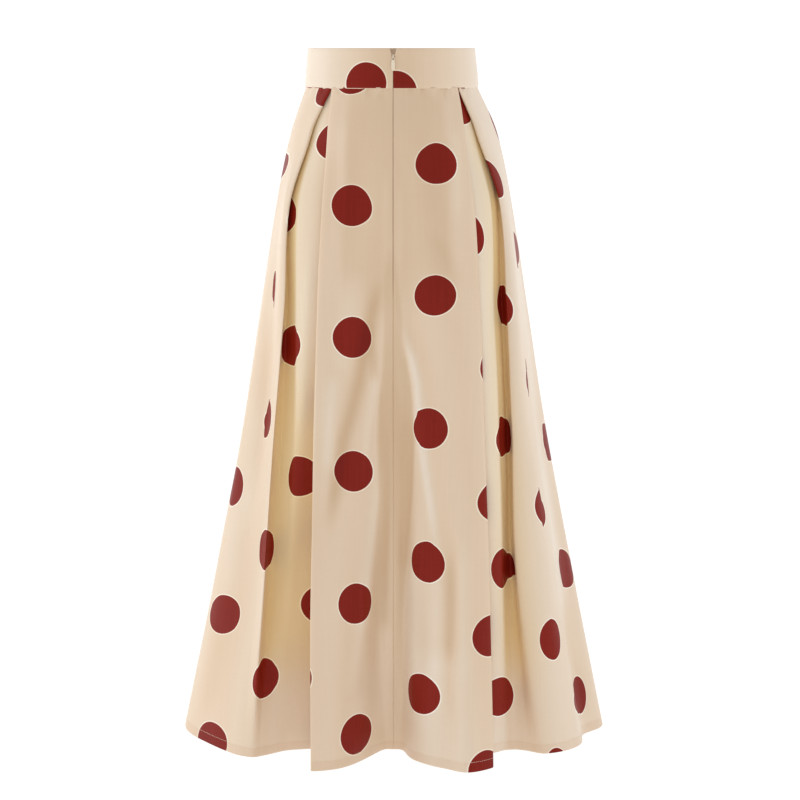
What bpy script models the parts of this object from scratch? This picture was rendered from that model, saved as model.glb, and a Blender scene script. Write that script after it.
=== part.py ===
"""Pleated, flared maxi skirt with a wide waistband and an invisible zip at the centre back.

Frame: the origin is the centre of the waistband's ring, +Z is up, and the wearer faces -Y,
so +Y is the skirt's back and +X the wearer's left. Tables are in millimetres.

Each cloth panel is one wall. A table gives its fold lines, a row for each, at seven heights.
A row says how far ACROSS from the centre line the fold lies, and how DEEP, which is its
distance in front of or behind the side seams. Near the waist the pleats are stitched flat,
so there the depth comes from the waist's outline and from the fold's LAYER in the stack.
"""
import math
from collections import namedtuple

import bmesh
import bpy
import numpy as np

MM = 0.001

# ---------------------------------------------------------------- driving sizes, mm
CLOTH = 1.2                     # wall of a cloth panel
SEAM_GAP = 0.3                  # clearance between two pieces at a seam
BAND_THICKNESS = 2.4            # stiffened waistband
BAND_TOP = 29.0                 # at the centre back
BAND_BOTTOM = -24.7
WAIST_RISE = 5.6                # the sides of the waist are this much above the centre back
RISE_FADES_AT = -300.0          # below this height the sections are level

# Outline of the skirt's section: half widths to each side, depth to the back and to the front
Outline = namedtuple("Outline", "height left right back front")
OUTLINES = [
    Outline(-25.0, 121.0, 116.5, 93.0, 93.0),      # waist seam
    Outline(-85.0, 141.8, 143.9, 113.0, 106.0),    # high hip
    Outline(-180.0, 162.4, 164.5, 126.0, 117.0),   # hip
    Outline(-320.0, 185.3, 187.9, 133.7, 124.9),   # thigh
    Outline(-474.0, 209.5, 212.5, 140.0, 132.0),   # knee
    Outline(-700.0, 254.2, 256.4, 152.1, 145.5),   # calf
    Outline(-931.0, 303.0, 303.7, 165.0, 160.0),   # hem
]
HEIGHTS = [row.height for row in OUTLINES]
LAYER_PITCH = (2.1, 3.4)        # spacing of stitched layers at the waist seam and the high hip
LAYERED = len(LAYER_PITCH)      # heights where LAYER sets the depth

RINGS = [-25, -38, -55, -85, -115, -145, -180, -225, -270, -320, -395, -474, -585, -700, -815,
         -931]

# A fold line: its layer at the waist, the pieces of wall up to the next row, its distance
# across at the seven heights, and its depth from the hip down.
Fold = namedtuple("Fold", "name layer steps across deep")

BACK_LEFT = [
    Fold("centre seam", 0, 2, (0, 0, 0, 0, 0, 0, 0), (126, 133, 137, 130.4, 114)),
    Fold("centre valley", 0, 2, (28, 28, 28, 26.5, 24, 19.1, 12), (124.5, 131.8, 136, 130, 114.5)),
    Fold("flute flank", 0, 2, (45, 45, 44, 43, 42, 41.6, 40), (122.5, 133.4, 142, 150.3, 156)),
    Fold("flute crest", 0, 2, (63, 66, 70, 73.7, 76, 76.6, 72), (119, 134.8, 149, 170.5, 192)),
    Fold("inner fold, face", 0, 2, (82.9, 88, 95, 100.8, 105, 109.9, 110),
         (113, 132.8, 150, 176, 202)),
    Fold("inner fold, back", 1, 2, (82.9, 88, 95, 101.1, 105, 109.8, 109.5),
         (110, 129.4, 146, 171.5, 197)),
    Fold("inner return", 1, 2, (71, 76, 80, 83.1, 86, 94.8, 101), (109.5, 119.6, 128, 143.6, 160)),
    Fold("inner turn, upper", 1, 2, (60, 67, 65.5, 65.4, 67.5, 79.7, 95),
         (110, 113.3, 112, 115.6, 120)),
    Fold("inner turn, lower", 2, 2, (60, 67, 65.5, 65.5, 68, 82.9, 100),
         (106.5, 109.3, 107, 109, 111.5)),
    Fold("underlay", 2, 2, (84, 89, 96, 102.2, 107, 113.9, 117), (102, 107.6, 108, 110.5, 112)),
    Fold("underlay edge", 2, 2, (92, 109, 127, 130.5, 131, 140, 148), (89, 98, 106, 113.2, 119)),
    Fold("valley", 2, 1, (96, 115, 131.5, 135, 137.5, 157.5, 166), (84, 92, 98, 106, 130)),
    Fold("outer turn, lower", 2, 2, (104, 127.5, 143.6, 145.6, 151.5, 167.5, 178),
         (70.2, 78.2, 88, 103, 139)),
    Fold("outer turn, upper", 1, 2, (104, 127.5, 146.4, 149, 155, 172, 183),
         (73, 81, 90, 105.5, 142.5)),
    Fold("outer fold, back", 1, 1, (84.7, 113.2, 141, 148.5, 161.5, 177.3, 188.5),
         (79.5, 90, 99.5, 122, 146)),
    Fold("outer fold, face", 0, 2, (84.7, 113.2, 141, 148.3, 161.5, 177.3, 195),
         (84.5, 95, 104, 126, 147)),
    Fold("outer crest", 0, 2, (96, 124, 146.5, 155, 167.5, 186, 210), (80, 90, 89, 108, 140)),
    Fold("outer flank", 0, 1, (104, 131, 152, 164.2, 177, 213, 234), (60, 63.8, 65, 82, 119)),
    Fold("side", 0, 2, (112, 137, 157.5, 181, 205.5, 246, 266), (38, 38.6, 38, 46, 80)),
    Fold("side seam", 0, 0, (121, 141.8, 162.4, 185.3, 209.5, 254.2, 303), (0, 0, 0, 0, 0)),
]

BACK_RIGHT = [
    Fold("centre seam", 0, 2, (0, 0, 0, 0, 0, 0, 0), (126, 133, 137, 130.4, 114)),
    Fold("centre valley", 0, 2, (26, 26, 24, 22, 20, 16.2, 11), (124.5, 132.3, 138, 132.5, 116)),
    Fold("flute flank", 0, 2, (42, 42, 40, 38.1, 36, 32.9, 28), (122.5, 133.6, 143, 151.7, 158)),
    Fold("flute crest", 0, 2, (60, 63, 66, 68.6, 70, 70.5, 67), (119.5, 134.9, 149, 170, 191)),
    Fold("panel crest", 0, 2, (75, 81, 88, 93.5, 98.5, 101.1, 100), (114, 132, 149, 177.8, 208)),
    Fold("inner fold, face", 0, 2, (87.3, 96.3, 108, 116.3, 121.5, 129.5, 134.6),
         (104, 122.3, 139, 163.4, 188)),
    Fold("inner fold, back", 1, 2, (87.3, 96.3, 108, 116.8, 121.5, 129.5, 134.2),
         (101, 118.7, 135, 159.3, 184)),
    Fold("inner turn, upper", 1, 2, (64.5, 72.5, 83, 91.5, 97, 110.4, 124),
         (108, 115.5, 122, 130.1, 137)),
    Fold("inner turn, lower", 2, 2, (64.5, 72.5, 83, 92.3, 99, 113, 127),
         (104.5, 111.5, 117, 123.7, 129)),
    Fold("underlay", 2, 2, (89, 98, 109, 117.2, 121, 130.3, 139), (98, 116.1, 130, 133.5, 129)),
    Fold("underlay edge", 2, 1, (96, 112.5, 131, 134.8, 140.5, 148.5, 153),
         (87, 102, 121, 125.3, 119)),
    Fold("edge flank", 2, 2, (99, 116, 133, 137.5, 144, 153, 161), (81, 94, 104, 112.6, 115.5)),
    Fold("valley", 2, 1, (101, 124, 138.5, 143.5, 150, 158, 171), (76, 86, 96, 101, 114)),
    Fold("outer turn, lower", 2, 2, (104, 131, 142.5, 148, 155.3, 163.3, 180),
         (67, 77, 87, 97, 117)),
    Fold("outer turn, upper", 1, 2, (104, 131, 144.5, 150.3, 158.3, 167, 186),
         (68.5, 78.5, 89.5, 99.5, 120)),
    Fold("outer fold, back", 1, 1, (89.3, 114.9, 145, 152.5, 158.5, 166, 196),
         (76.5, 88, 103, 115, 127)),
    Fold("outer fold, face", 0, 2, (89.3, 114.9, 145.3, 153, 158.8, 168.5, 207),
         (81.5, 92.5, 108, 119.5, 132)),
    Fold("outer crest", 0, 2, (98, 125, 152, 167, 179, 208.4, 240), (75, 91.8, 105, 112.9, 119)),
    Fold("outer flank", 0, 1, (104, 132, 158.5, 176, 192, 225.8, 262), (56, 65.6, 76, 85.3, 94)),
    Fold("side", 0, 2, (110, 138.5, 162, 182, 200, 234, 270), (32, 36.4, 42, 47.8, 53)),
    Fold("side seam", 0, 0, (116.5, 143.9, 164.5, 187.9, 212.5, 256.4, 303.7), (0, 0, 0, 0, 0)),
]

# One half of the front, mirrored to the other side
FRONT = [
    Fold("centre", 0, 2, (0, 0, 0, 0, 0, 0, 0), (117, 124.4, 130, 138.5, 146)),
    Fold("flute flank", 0, 2, (34, 36, 38, 40, 42, 44.7, 46), (116, 124.6, 132, 145.6, 160)),
    Fold("panel crest", 0, 2, (62, 66, 72, 77.4, 82, 88.5, 92), (111.5, 125.4, 138, 160.4, 184)),
    Fold("inner fold, face", 0, 2, (84.5, 92, 103, 111.8, 118, 125.9, 130),
         (102, 120.9, 137, 158.6, 180)),
    Fold("inner fold, back", 1, 2, (84.5, 92, 103, 112.2, 118, 125.8, 129.5),
         (99, 117.4, 133, 154, 175)),
    Fold("inner turn, upper", 1, 2, (60, 65, 69, 78.3, 88, 102.8, 117),
         (105, 111.8, 117, 122.7, 126)),
    Fold("inner turn, lower", 2, 2, (60, 65, 69, 79.3, 90, 105.8, 121),
         (101.5, 107.8, 112, 116.3, 118)),
    Fold("underlay", 2, 2, (86, 95, 105, 113.7, 122, 131, 136), (94, 103.5, 112, 116.6, 114)),
    Fold("underlay edge", 2, 2, (92, 104, 129, 138.7, 140, 148.9, 155),
         (82, 93.5, 108, 116.7, 119)),
    Fold("valley", 2, 1, (98, 117, 139, 149.4, 151, 164, 172), (62, 71.8, 86, 106, 127)),
    Fold("outer turn, lower", 2, 2, (107, 132, 148.5, 158.8, 158, 174.7, 186),
         (43, 55.4, 74, 101.7, 135)),
    Fold("outer turn, upper", 1, 2, (107, 132, 151, 162, 162, 179.1, 191),
         (44, 56.8, 76, 104.1, 138)),
    Fold("outer fold, back", 1, 1, (86.5, 114.5, 142.8, 159.5, 168, 184.8, 198),
         (74, 87, 102, 121, 141)),
    Fold("outer fold, face", 0, 2, (86.5, 114.5, 143, 159.4, 168, 187.4, 206),
         (79, 92.4, 107, 123.7, 141)),
    Fold("outer crest", 0, 2, (98, 126, 149, 166, 180, 203.7, 228), (72, 89.1, 102, 117.1, 132)),
    Fold("outer flank", 0, 1, (105, 132.5, 155, 172.4, 190, 222.8, 256), (52, 60.2, 68, 84.2, 104)),
    Fold("side", 0, 2, (113, 138, 160.5, 181.5, 203, 243.8, 286), (28, 30.5, 34, 43.4, 56)),
    Fold("side seam", 0, 0, (118.8, 142.8, 163.4, 186.6, 211, 255.3, 303.4), (0, 0, 0, 0, 0)),
]

# Waistband: a row for each level, its height at the centre back, the outline's half sizes
# and half the opening at the centre back, which spreads into a notch above the slider
BandLevel = namedtuple("BandLevel", "height left right back front half_gap")
BAND_LEVELS = [
    BandLevel(BAND_BOTTOM, 121.3, 116.8, 93.3, 93.3, 0.15),
    BandLevel(2.0, 118.8, 114.2, 91.3, 91.3, 0.15),
    BandLevel(13.0, 117.8, 113.0, 90.6, 90.6, 0.5),
    BandLevel(17.0, 117.5, 112.6, 90.4, 90.4, 1.4),
    BandLevel(BAND_TOP, 116.5, 111.5, 89.7, 89.7, 4.6),
]
BAND_STEPS = 48                 # pieces round the band

# Invisible zip: tapes behind the edges, slider behind the tapes, pull tab outside the band
TAPE_WIDTH = 12.0
TAPE_THICKNESS = 1.0
TAPE_PIECES = 3                 # pieces of wall across a tape
TAPE_INNER_EDGE = 1.3           # the tape starts this far from the centre line
FIT_GAP = 0.35                  # clearance behind the cloth, and between tape and metal
TAPE_TOP = 20.0
TAPE_END = -300.0
BAND_STEP_FADES = 30.0          # the tapes drop to the thinner cloth over this height
PIVOT_HEIGHT = 17.6             # the pull tab's hinge line
PIVOT_STANDOFF = 2.4            # from the band's face to the hinge line
SLIDER_SIZE = (6.4, 2.6, 9.5)   # across, deep, high
SLIDER_DROP = 1.0               # its middle is this much below the hinge line
METAL_BEVEL = 0.4
NECK_HALF_SIZE = (0.58, 1.0)    # across, high
ARCH_HALF_WIDTH = 0.65
ARCH_OUTER = 2.2                # radii of the arch that carries the tab
ARCH_INNER = 1.2
ARCH_POINTS = 16
TAB_LENGTH = 19.0
TAB_WIDTHS = (4.0, 6.0)         # at its top and its rounded foot
TAB_THICKNESS = 1.0
TAB_BAR = 0.7                   # half height of the bar above the eye
TAB_EYE_HALF = (1.15, 1.7)      # half the eye's width and height
TAB_POINTS = 20
TAB_CORNER, EYE_CORNER = 0.55, 0.5   # powers below 1 square an oval's corners
STOP_SIZE = (4.0, 1.6, 5.0)
STOP_ABOVE_END = 16.0


# ---------------------------------------------------------------- curves
def smooth_between(position, knots, values):
    """Monotone cubic curve through the knots, so a fold never swings past its own row."""
    knots = np.asarray(knots, float)
    values = np.asarray(values, float)
    if knots[0] > knots[-1]:
        knots, values = knots[::-1], values[::-1]
    spans = np.diff(knots)
    slopes = np.diff(values) / spans
    tangents = np.empty_like(values)
    tangents[0], tangents[-1] = slopes[0], slopes[-1]
    for i in range(1, len(knots) - 1):
        if slopes[i - 1] * slopes[i] <= 0:
            tangents[i] = 0.0
            continue
        near, far = 2 * spans[i] + spans[i - 1], spans[i] + 2 * spans[i - 1]
        tangents[i] = (near + far) / (near / slopes[i - 1] + far / slopes[i])
    i = int(np.clip(np.searchsorted(knots, position) - 1, 0, len(spans) - 1))
    t = (position - knots[i]) / spans[i]
    return ((2 * t**3 - 3 * t**2 + 1) * values[i] + (t**3 - 2 * t**2 + t) * spans[i] * tangents[i]
            + (3 * t**2 - 2 * t**3) * values[i + 1] + (t**3 - t**2) * spans[i] * tangents[i + 1])


def flowing_line(before, points, after, steps):
    """Centripetal Catmull-Rom line through points, with steps[i] pieces after point i."""
    points = [np.asarray(p, float) for p in points]
    padded = [np.asarray(before, float), *points, np.asarray(after, float)]
    line = [points[0]]
    for i in range(len(points) - 1):
        a, b, c, d = padded[i:i + 4]
        t0 = 0.0
        t1 = t0 + math.sqrt(np.linalg.norm(b - a))
        t2 = t1 + math.sqrt(np.linalg.norm(c - b))
        t3 = t2 + math.sqrt(np.linalg.norm(d - c))
        for step in range(1, steps[i] + 1):
            t = t1 + (t2 - t1) * step / steps[i]
            ab = a + (b - a) * (t - t0) / (t1 - t0)
            bc = b + (c - b) * (t - t1) / (t2 - t1)
            cd = c + (d - c) * (t - t2) / (t3 - t2)
            abc = ab + (bc - ab) * (t - t0) / (t2 - t0)
            bcd = bc + (cd - bc) * (t - t1) / (t3 - t1)
            line.append(abc + (bcd - abc) * (t - t1) / (t2 - t1))
    return np.array(line)


# ---------------------------------------------------------------- the section's own coordinates
def on_outline(turn, stand, width, depth):
    """Point at an angle from the centre line round an ellipse, standing out along its normal."""
    normal = np.array([depth * math.sin(turn), width * math.cos(turn)])
    normal /= np.linalg.norm(normal)
    return np.array([width * math.sin(turn), depth * math.cos(turn)]) + stand * normal


def outline_place(across, deep, width, depth):
    """The angle and stand of a point, the reverse of on_outline."""
    turn = math.atan2(across / width, deep / depth)
    for _ in range(30):
        foot = on_outline(turn, 0.0, width, depth)
        tangent = np.array([width * math.cos(turn), -depth * math.sin(turn)])
        speed = np.linalg.norm(tangent)
        turn += np.dot(np.array([across, deep]) - foot, tangent / speed) / speed * 0.7
    offset = np.array([across, deep]) - on_outline(turn, 0.0, width, depth)
    normal = on_outline(turn, 1.0, width, depth) - on_outline(turn, 0.0, width, depth)
    return turn, float(np.dot(offset, normal))


def fold_places(fold, side, face):
    """The fold's turns and stands at the seven heights."""
    places = []
    for level, row in enumerate(OUTLINES):
        width = getattr(row, side)
        depth = getattr(row, face)
        across = fold.across[level]
        if face == "front":
            across *= width / (0.5 * (row.left + row.right))
        if level < LAYERED:
            turn = math.asin(min(1.0, across / width))
            places.append((turn, -fold.layer * LAYER_PITCH[level]))
        else:
            places.append(outline_place(across, fold.deep[level - LAYERED], width, depth))
    return tuple(zip(*places))


# One half of a panel, ready to be cut at any height
HalfPanel = namedtuple("HalfPanel", "side face steps places")


def half_panel(folds, side, face):
    steps = [fold.steps for fold in folds]
    return HalfPanel(side, face, steps, [fold_places(fold, side, face) for fold in folds])


def panel_section(half, height):
    """Middle line of the half panel's wall at a height: points (across, deep) in mm."""
    width = smooth_between(height, HEIGHTS, [getattr(row, half.side) for row in OUTLINES])
    depth = smooth_between(height, HEIGHTS, [getattr(row, half.face) for row in OUTLINES])
    radius = 0.5 * (width + depth)
    controls = []
    for turns, stands in half.places:
        turn = smooth_between(height, HEIGHTS, turns)
        controls.append((turn * radius, smooth_between(height, HEIGHTS, stands)))
    before = (-controls[1][0], controls[1][1])
    after = (math.pi * radius - controls[-2][0], controls[-2][1])
    line = flowing_line(before, controls, after, half.steps)
    return np.array([on_outline(along / radius, stand, width, depth) for along, stand in line])


def wall_normals(line):
    """Unit normals of a line, to its left."""
    pieces = np.diff(line, axis=0)
    pieces /= np.linalg.norm(pieces, axis=1)[:, None]
    along = np.vstack([pieces[:1], pieces]) + np.vstack([pieces, pieces[-1:]])
    along /= np.linalg.norm(along, axis=1)[:, None]
    return np.column_stack([-along[:, 1], along[:, 0]])


def lifted(height, deep):
    """Height of a point of a section: the waist's plane rises towards the front."""
    fade = min(1.0, max(0.0, (height - RISE_FADES_AT) / (HEIGHTS[0] - RISE_FADES_AT)))
    return height + WAIST_RISE * fade * (1.0 - deep / OUTLINES[0].back)


# ---------------------------------------------------------------- solids
def new_object(name, mesh_data, material):
    mesh = bpy.data.meshes.new(name)
    mesh_data.to_mesh(mesh)
    mesh_data.free()
    mesh.materials.append(material)
    mesh.shade_smooth()
    mesh.set_sharp_from_angle(angle=math.radians(40))
    piece = bpy.data.objects.new(name, mesh)
    bpy.context.collection.objects.link(piece)
    return piece


def wall_solid(name, outer_rings, inner_rings, material):
    """Closed wall between two grids of points (in mm), each a list of open rings."""
    solid = bmesh.new()
    grids = []
    for rings in (outer_rings, inner_rings):
        grids.append([[solid.verts.new(np.asarray(p) * MM) for p in ring] for ring in rings])
    outer, inner = grids
    rows, columns = len(outer), len(outer[0])
    for r in range(rows - 1):
        for c in range(columns - 1):
            solid.faces.new((outer[r][c], outer[r][c + 1], outer[r + 1][c + 1], outer[r + 1][c]))
            solid.faces.new((inner[r][c], inner[r + 1][c], inner[r + 1][c + 1], inner[r][c + 1]))
        for c in (0, columns - 1):
            solid.faces.new((outer[r][c], outer[r + 1][c], inner[r + 1][c], inner[r][c]))
    for r in (0, rows - 1):
        for c in range(columns - 1):
            solid.faces.new((outer[r][c], outer[r][c + 1], inner[r][c + 1], inner[r][c]))
    bmesh.ops.recalc_face_normals(solid, faces=solid.faces)
    if solid.calc_volume(signed=True) < 0:
        bmesh.ops.reverse_faces(solid, faces=solid.faces)
    bmesh.ops.triangulate(solid, faces=solid.faces)
    return new_object(name, solid, material)


def open_ring(line, offset, centre_gap):
    """The wall's line moved out by offset, cut square at the centre line and the side seam."""
    moved = line + wall_normals(line) * offset
    moved[0] = (0.5 * centre_gap, line[0][1] + offset)
    moved[-1] = (line[-1][0] + offset, 0.5 * SEAM_GAP)
    return moved


def back_panel(name, half, sign, material):
    sheets = []
    for offset in (0.5 * CLOTH, -0.5 * CLOTH):
        rings = []
        for height in RINGS:
            ring = open_ring(panel_section(half, height), offset, SEAM_GAP)
            rings.append([(sign * x, y, lifted(height, y)) for x, y in ring])
        sheets.append(rings)
    return wall_solid(name, sheets[0], sheets[1], material)


def front_panel(name, left_half, right_half, material):
    sheets = []
    for offset in (0.5 * CLOTH, -0.5 * CLOTH):
        rings = []
        for height in RINGS:
            halves = []
            for half, sign in ((left_half, 1), (right_half, -1)):
                ring = open_ring(panel_section(half, height), offset, 0.0)
                halves.append([(sign * x, -y, lifted(height, -y)) for x, y in ring])
            rings.append(halves[1][::-1] + halves[0][1:])
        sheets.append(rings)
    return wall_solid(name, sheets[0], sheets[1], material)


def band_line(level):
    """Middle line of the band at one level, from the centre back round to it again."""
    first = math.asin(level.half_gap / level.left)
    last = 2 * math.pi - math.asin(level.half_gap / level.right)
    line = []
    for step in range(BAND_STEPS + 1):
        turn = first + (last - first) * step / BAND_STEPS
        width = level.left if turn <= math.pi else level.right
        depth = level.back if math.cos(turn) >= 0 else level.front
        line.append((width * math.sin(turn), depth * math.cos(turn)))
    return np.array(line)


def waistband(material):
    sheets = []
    for offset in (0.5 * BAND_THICKNESS, -0.5 * BAND_THICKNESS):
        rings = []
        for level in BAND_LEVELS:
            line = band_line(level)
            ring = line + wall_normals(line) * offset
            rings.append([
                (x, y, level.height + WAIST_RISE * (1.0 - y / OUTLINES[0].back)) for x, y in ring
            ])
        sheets.append(rings)
    return wall_solid("waistband", sheets[0], sheets[1], material)


def band_depth(height):
    """Depth of the band's middle at the centre back."""
    return float(np.interp(height, [level.height for level in BAND_LEVELS],
                           [level.back for level in BAND_LEVELS]))


def cloth_depths(half, height, places):
    """Depth of the band's or the panel's middle at some places near the centre back."""
    if height >= BAND_BOTTOM:
        return band_depth(height) * np.sqrt(1 - (places / OUTLINES[0].left) ** 2)
    line = panel_section(half, height)[:6]
    return np.interp(places, line[:, 0], line[:, 1])


def zip_tape(name, half, sign, material):
    """A flat tape behind the edge of the band and the panel."""
    heights = [TAPE_TOP, 0.0, BAND_BOTTOM, *[h for h in RINGS[1:] if h > TAPE_END], TAPE_END]
    behind_band = 0.5 * BAND_THICKNESS + FIT_GAP
    behind_cloth = 0.5 * CLOTH + FIT_GAP
    places = np.linspace(TAPE_INNER_EDGE, TAPE_INNER_EDGE + TAPE_WIDTH, TAPE_PIECES + 1)
    sheets = []
    for depth_in in (0.0, TAPE_THICKNESS):
        rings = []
        for height in heights:
            gap = np.interp(height, (BAND_BOTTOM - BAND_STEP_FADES, BAND_BOTTOM),
                            (behind_cloth, behind_band))
            ring = []
            for across, depth in zip(places, cloth_depths(half, height, places)):
                y = depth - gap - depth_in
                ring.append((sign * across, y, lifted(height, y)))
            rings.append(ring)
        sheets.append(rings)
    return wall_solid(name, sheets[0], sheets[1], material)


def block(size, centre):
    """A box in mm with softened edges, as mesh data."""
    solid = bmesh.new()
    bmesh.ops.create_cube(solid, size=1.0)
    for vertex in solid.verts:
        vertex.co = [(vertex.co[i] * size[i] + centre[i]) * MM for i in range(3)]
    bmesh.ops.bevel(solid, geom=list(solid.edges), offset=METAL_BEVEL * MM, segments=2,
                    profile=0.5, affect="EDGES")
    return solid


def extruded(outline, half_thickness, axis, hole=None):
    """A flat outline in mm made solid to both sides, round a hole of as many points.

    The points are (first, second) in the plane across the given axis.
    """
    solid = bmesh.new()
    loops = [outline, hole] if hole else [outline]
    layers = []
    for at in (-half_thickness, half_thickness):
        rims = []
        for loop in loops:
            rim = []
            for first, second in loop:
                place = [first, second]
                place.insert(axis, at)
                rim.append(solid.verts.new([value * MM for value in place]))
            rims.append(rim)
        layers.append(rims)
    for low, high in zip(layers[0], layers[1]):
        for i in range(len(low)):
            j = (i + 1) % len(low)
            solid.faces.new((low[i], low[j], high[j], high[i]))
    for rims in layers:
        if len(rims) == 1:
            solid.faces.new(rims[0])
            continue
        outer, inner = rims
        for i in range(len(outer)):
            j = (i + 1) % len(outer)
            solid.faces.new((outer[i], outer[j], inner[j], inner[i]))
    bmesh.ops.recalc_face_normals(solid, faces=solid.faces)
    bmesh.ops.triangulate(solid, faces=solid.faces)
    return solid


def squared(value, power):
    """The value brought nearer to 1 or -1, which squares the corners of an oval."""
    return math.copysign(abs(value) ** power, value)


def slider_depth():
    """Depth of the middle of the slider's body, behind the tapes."""
    tape_back = band_depth(PIVOT_HEIGHT) - 0.5 * BAND_THICKNESS - FIT_GAP - TAPE_THICKNESS
    return tape_back - FIT_GAP - 0.5 * SLIDER_SIZE[1]


def pivot_depth():
    """Depth of the tab's hinge line, outside the band."""
    return band_depth(PIVOT_HEIGHT) + 0.5 * BAND_THICKNESS + PIVOT_STANDOFF


def zip_slider(material):
    """Body behind the tapes, and a neck through the notch that ends in an arch for the tab."""
    body_y, hinge_y = slider_depth(), pivot_depth()
    body = block(SLIDER_SIZE, (0.0, body_y, PIVOT_HEIGHT - SLIDER_DROP))
    slider = new_object("zip_slider", body, material)
    outer, inner = [], []
    for step in range(ARCH_POINTS):
        angle = 2 * math.pi * step / ARCH_POINTS
        for rim, radius in ((outer, ARCH_OUTER), (inner, ARCH_INNER)):
            rim.append((hinge_y + radius * math.cos(angle),
                        PIVOT_HEIGHT + radius * math.sin(angle)))
    arch = new_object("slider_arch", extruded(outer, ARCH_HALF_WIDTH, 0, inner), material)
    neck_half_width, neck_half_height = NECK_HALF_SIZE
    neck_end = hinge_y - 0.5 * (ARCH_OUTER + ARCH_INNER)
    low, high = PIVOT_HEIGHT - neck_half_height, PIVOT_HEIGHT + neck_half_height
    neck_side = [(body_y, low), (neck_end, low), (neck_end, high), (body_y, high)]
    neck = new_object("slider_neck", extruded(neck_side, neck_half_width, 0), material)
    for cutter in (neck, arch):
        cutter.hide_render = True
        cutter.display_type = "WIRE"
        union = slider.modifiers.new("join " + cutter.name, "BOOLEAN")
        union.operation = "UNION"
        union.object = cutter
    return slider


def pull_tab(material):
    """Drop-shaped plate that hangs from the arch by the bar above its eye."""
    outline, eye = [], []
    for step in range(TAB_POINTS):
        angle = 2 * math.pi * step / TAB_POINTS
        down = 0.5 - 0.5 * math.sin(angle)
        half_width = 0.5 * (TAB_WIDTHS[0] + (TAB_WIDTHS[1] - TAB_WIDTHS[0]) * down)
        outline.append((half_width * squared(math.cos(angle), TAB_CORNER),
                        TAB_BAR - TAB_LENGTH * down))
        eye.append((TAB_EYE_HALF[0] * squared(math.cos(angle), EYE_CORNER),
                    -TAB_BAR - TAB_EYE_HALF[1] * (1 - squared(math.sin(angle), EYE_CORNER))))
    tab = new_object("zip_pull_tab", extruded(outline, 0.5 * TAB_THICKNESS, 1, eye), material)
    tab.location = (0.0, pivot_depth() * MM, PIVOT_HEIGHT * MM)
    return tab


def bottom_stop(half, material):
    """Small metal stop behind the tapes, near the zip's lower end."""
    height = TAPE_END + STOP_ABOVE_END
    cloth = panel_section(half, height)[0][1]
    stop_face = cloth - 0.5 * CLOTH - FIT_GAP - TAPE_THICKNESS - FIT_GAP
    centre_y = stop_face - 0.5 * STOP_SIZE[1]
    centre = (0.0, centre_y, lifted(height, centre_y))
    return new_object("zip_bottom_stop", block(STOP_SIZE, centre), material)


# ---------------------------------------------------------------- materials
def finish(name, colour, roughness, metallic=0.0):
    material = bpy.data.materials.new(name)
    material.use_nodes = True
    shader = material.node_tree.nodes["Principled BSDF"]
    shader.inputs["Base Color"].default_value = (*colour, 1.0)
    shader.inputs["Roughness"].default_value = roughness
    shader.inputs["Metallic"].default_value = metallic
    return material


def build():
    for existing in list(bpy.data.objects):
        bpy.data.objects.remove(existing)
    taffeta = finish("taffeta", (0.66, 0.54, 0.40), 0.55)
    tape = finish("zip tape", (0.62, 0.52, 0.40), 0.8)
    enamel = finish("enamelled metal", (0.60, 0.48, 0.34), 0.35, 0.2)
    back_left = half_panel(BACK_LEFT, "left", "back")
    back_right = half_panel(BACK_RIGHT, "right", "back")
    front_left = half_panel(FRONT, "left", "front")
    front_right = half_panel(FRONT, "right", "front")
    waistband(taffeta)
    back_panel("back_left_panel", back_left, 1, taffeta)
    back_panel("back_right_panel", back_right, -1, taffeta)
    front_panel("front_panel", front_left, front_right, taffeta)
    zip_tape("zip_tape_left", back_left, 1, tape)
    zip_tape("zip_tape_right", back_right, -1, tape)
    zip_slider(enamel)
    pull_tab(enamel)
    bottom_stop(back_left, enamel)


build()
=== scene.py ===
"""Looks of the flared, pleated maxi skirt: printed taffeta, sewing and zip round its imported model.

Sizes and places are in millimetres in the model's own frame: the origin is the centre of the
waistband's ring, +Z is up, the wearer faces -Y and +X is the wearer's left. MM turns them
into metres where a mesh is made. Points of a half panel are (across, deep): how far they lie
from the centre line, and in front of or behind the side seams.
"""
import itertools
import math
from collections import namedtuple

import bpy
import numpy as np
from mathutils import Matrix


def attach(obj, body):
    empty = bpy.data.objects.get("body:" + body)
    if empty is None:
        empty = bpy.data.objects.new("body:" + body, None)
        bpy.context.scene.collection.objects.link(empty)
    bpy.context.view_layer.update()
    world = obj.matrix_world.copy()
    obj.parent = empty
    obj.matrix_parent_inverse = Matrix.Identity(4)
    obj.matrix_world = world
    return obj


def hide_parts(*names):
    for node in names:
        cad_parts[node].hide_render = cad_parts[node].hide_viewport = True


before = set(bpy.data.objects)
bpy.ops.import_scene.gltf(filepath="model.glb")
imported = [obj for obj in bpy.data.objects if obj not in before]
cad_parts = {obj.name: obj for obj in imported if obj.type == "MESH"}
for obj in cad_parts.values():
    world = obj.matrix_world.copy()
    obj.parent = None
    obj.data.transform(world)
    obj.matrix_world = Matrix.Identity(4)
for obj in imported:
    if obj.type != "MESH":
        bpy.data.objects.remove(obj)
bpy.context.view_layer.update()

MM = 0.001

# ---------------------------------------------------------------- camera, stage and light
CAMERA_AT = (-9.2, 2500.0, -112.5)
CAMERA_TILT = 7.83              # degrees below the level
LENS, SENSOR = 80.0, 36.0
FLOOR_HEIGHT = -1010.0
FLOOR_RADIUS = 30000.0

# ---------------------------------------------------------------- the form, as in the model
CLOTH = 0.5                     # thickness of the taffeta's shell
SEAM_GAP = 0.3                  # between two pieces at a seam
BAND_THICKNESS = 2.4
BAND_TOP = 29.0
BAND_BOTTOM = -24.7
WAIST_RISE = 5.6                # the waist is this much higher at the sides than at the back
RISE_FADES_AT = -300.0

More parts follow.
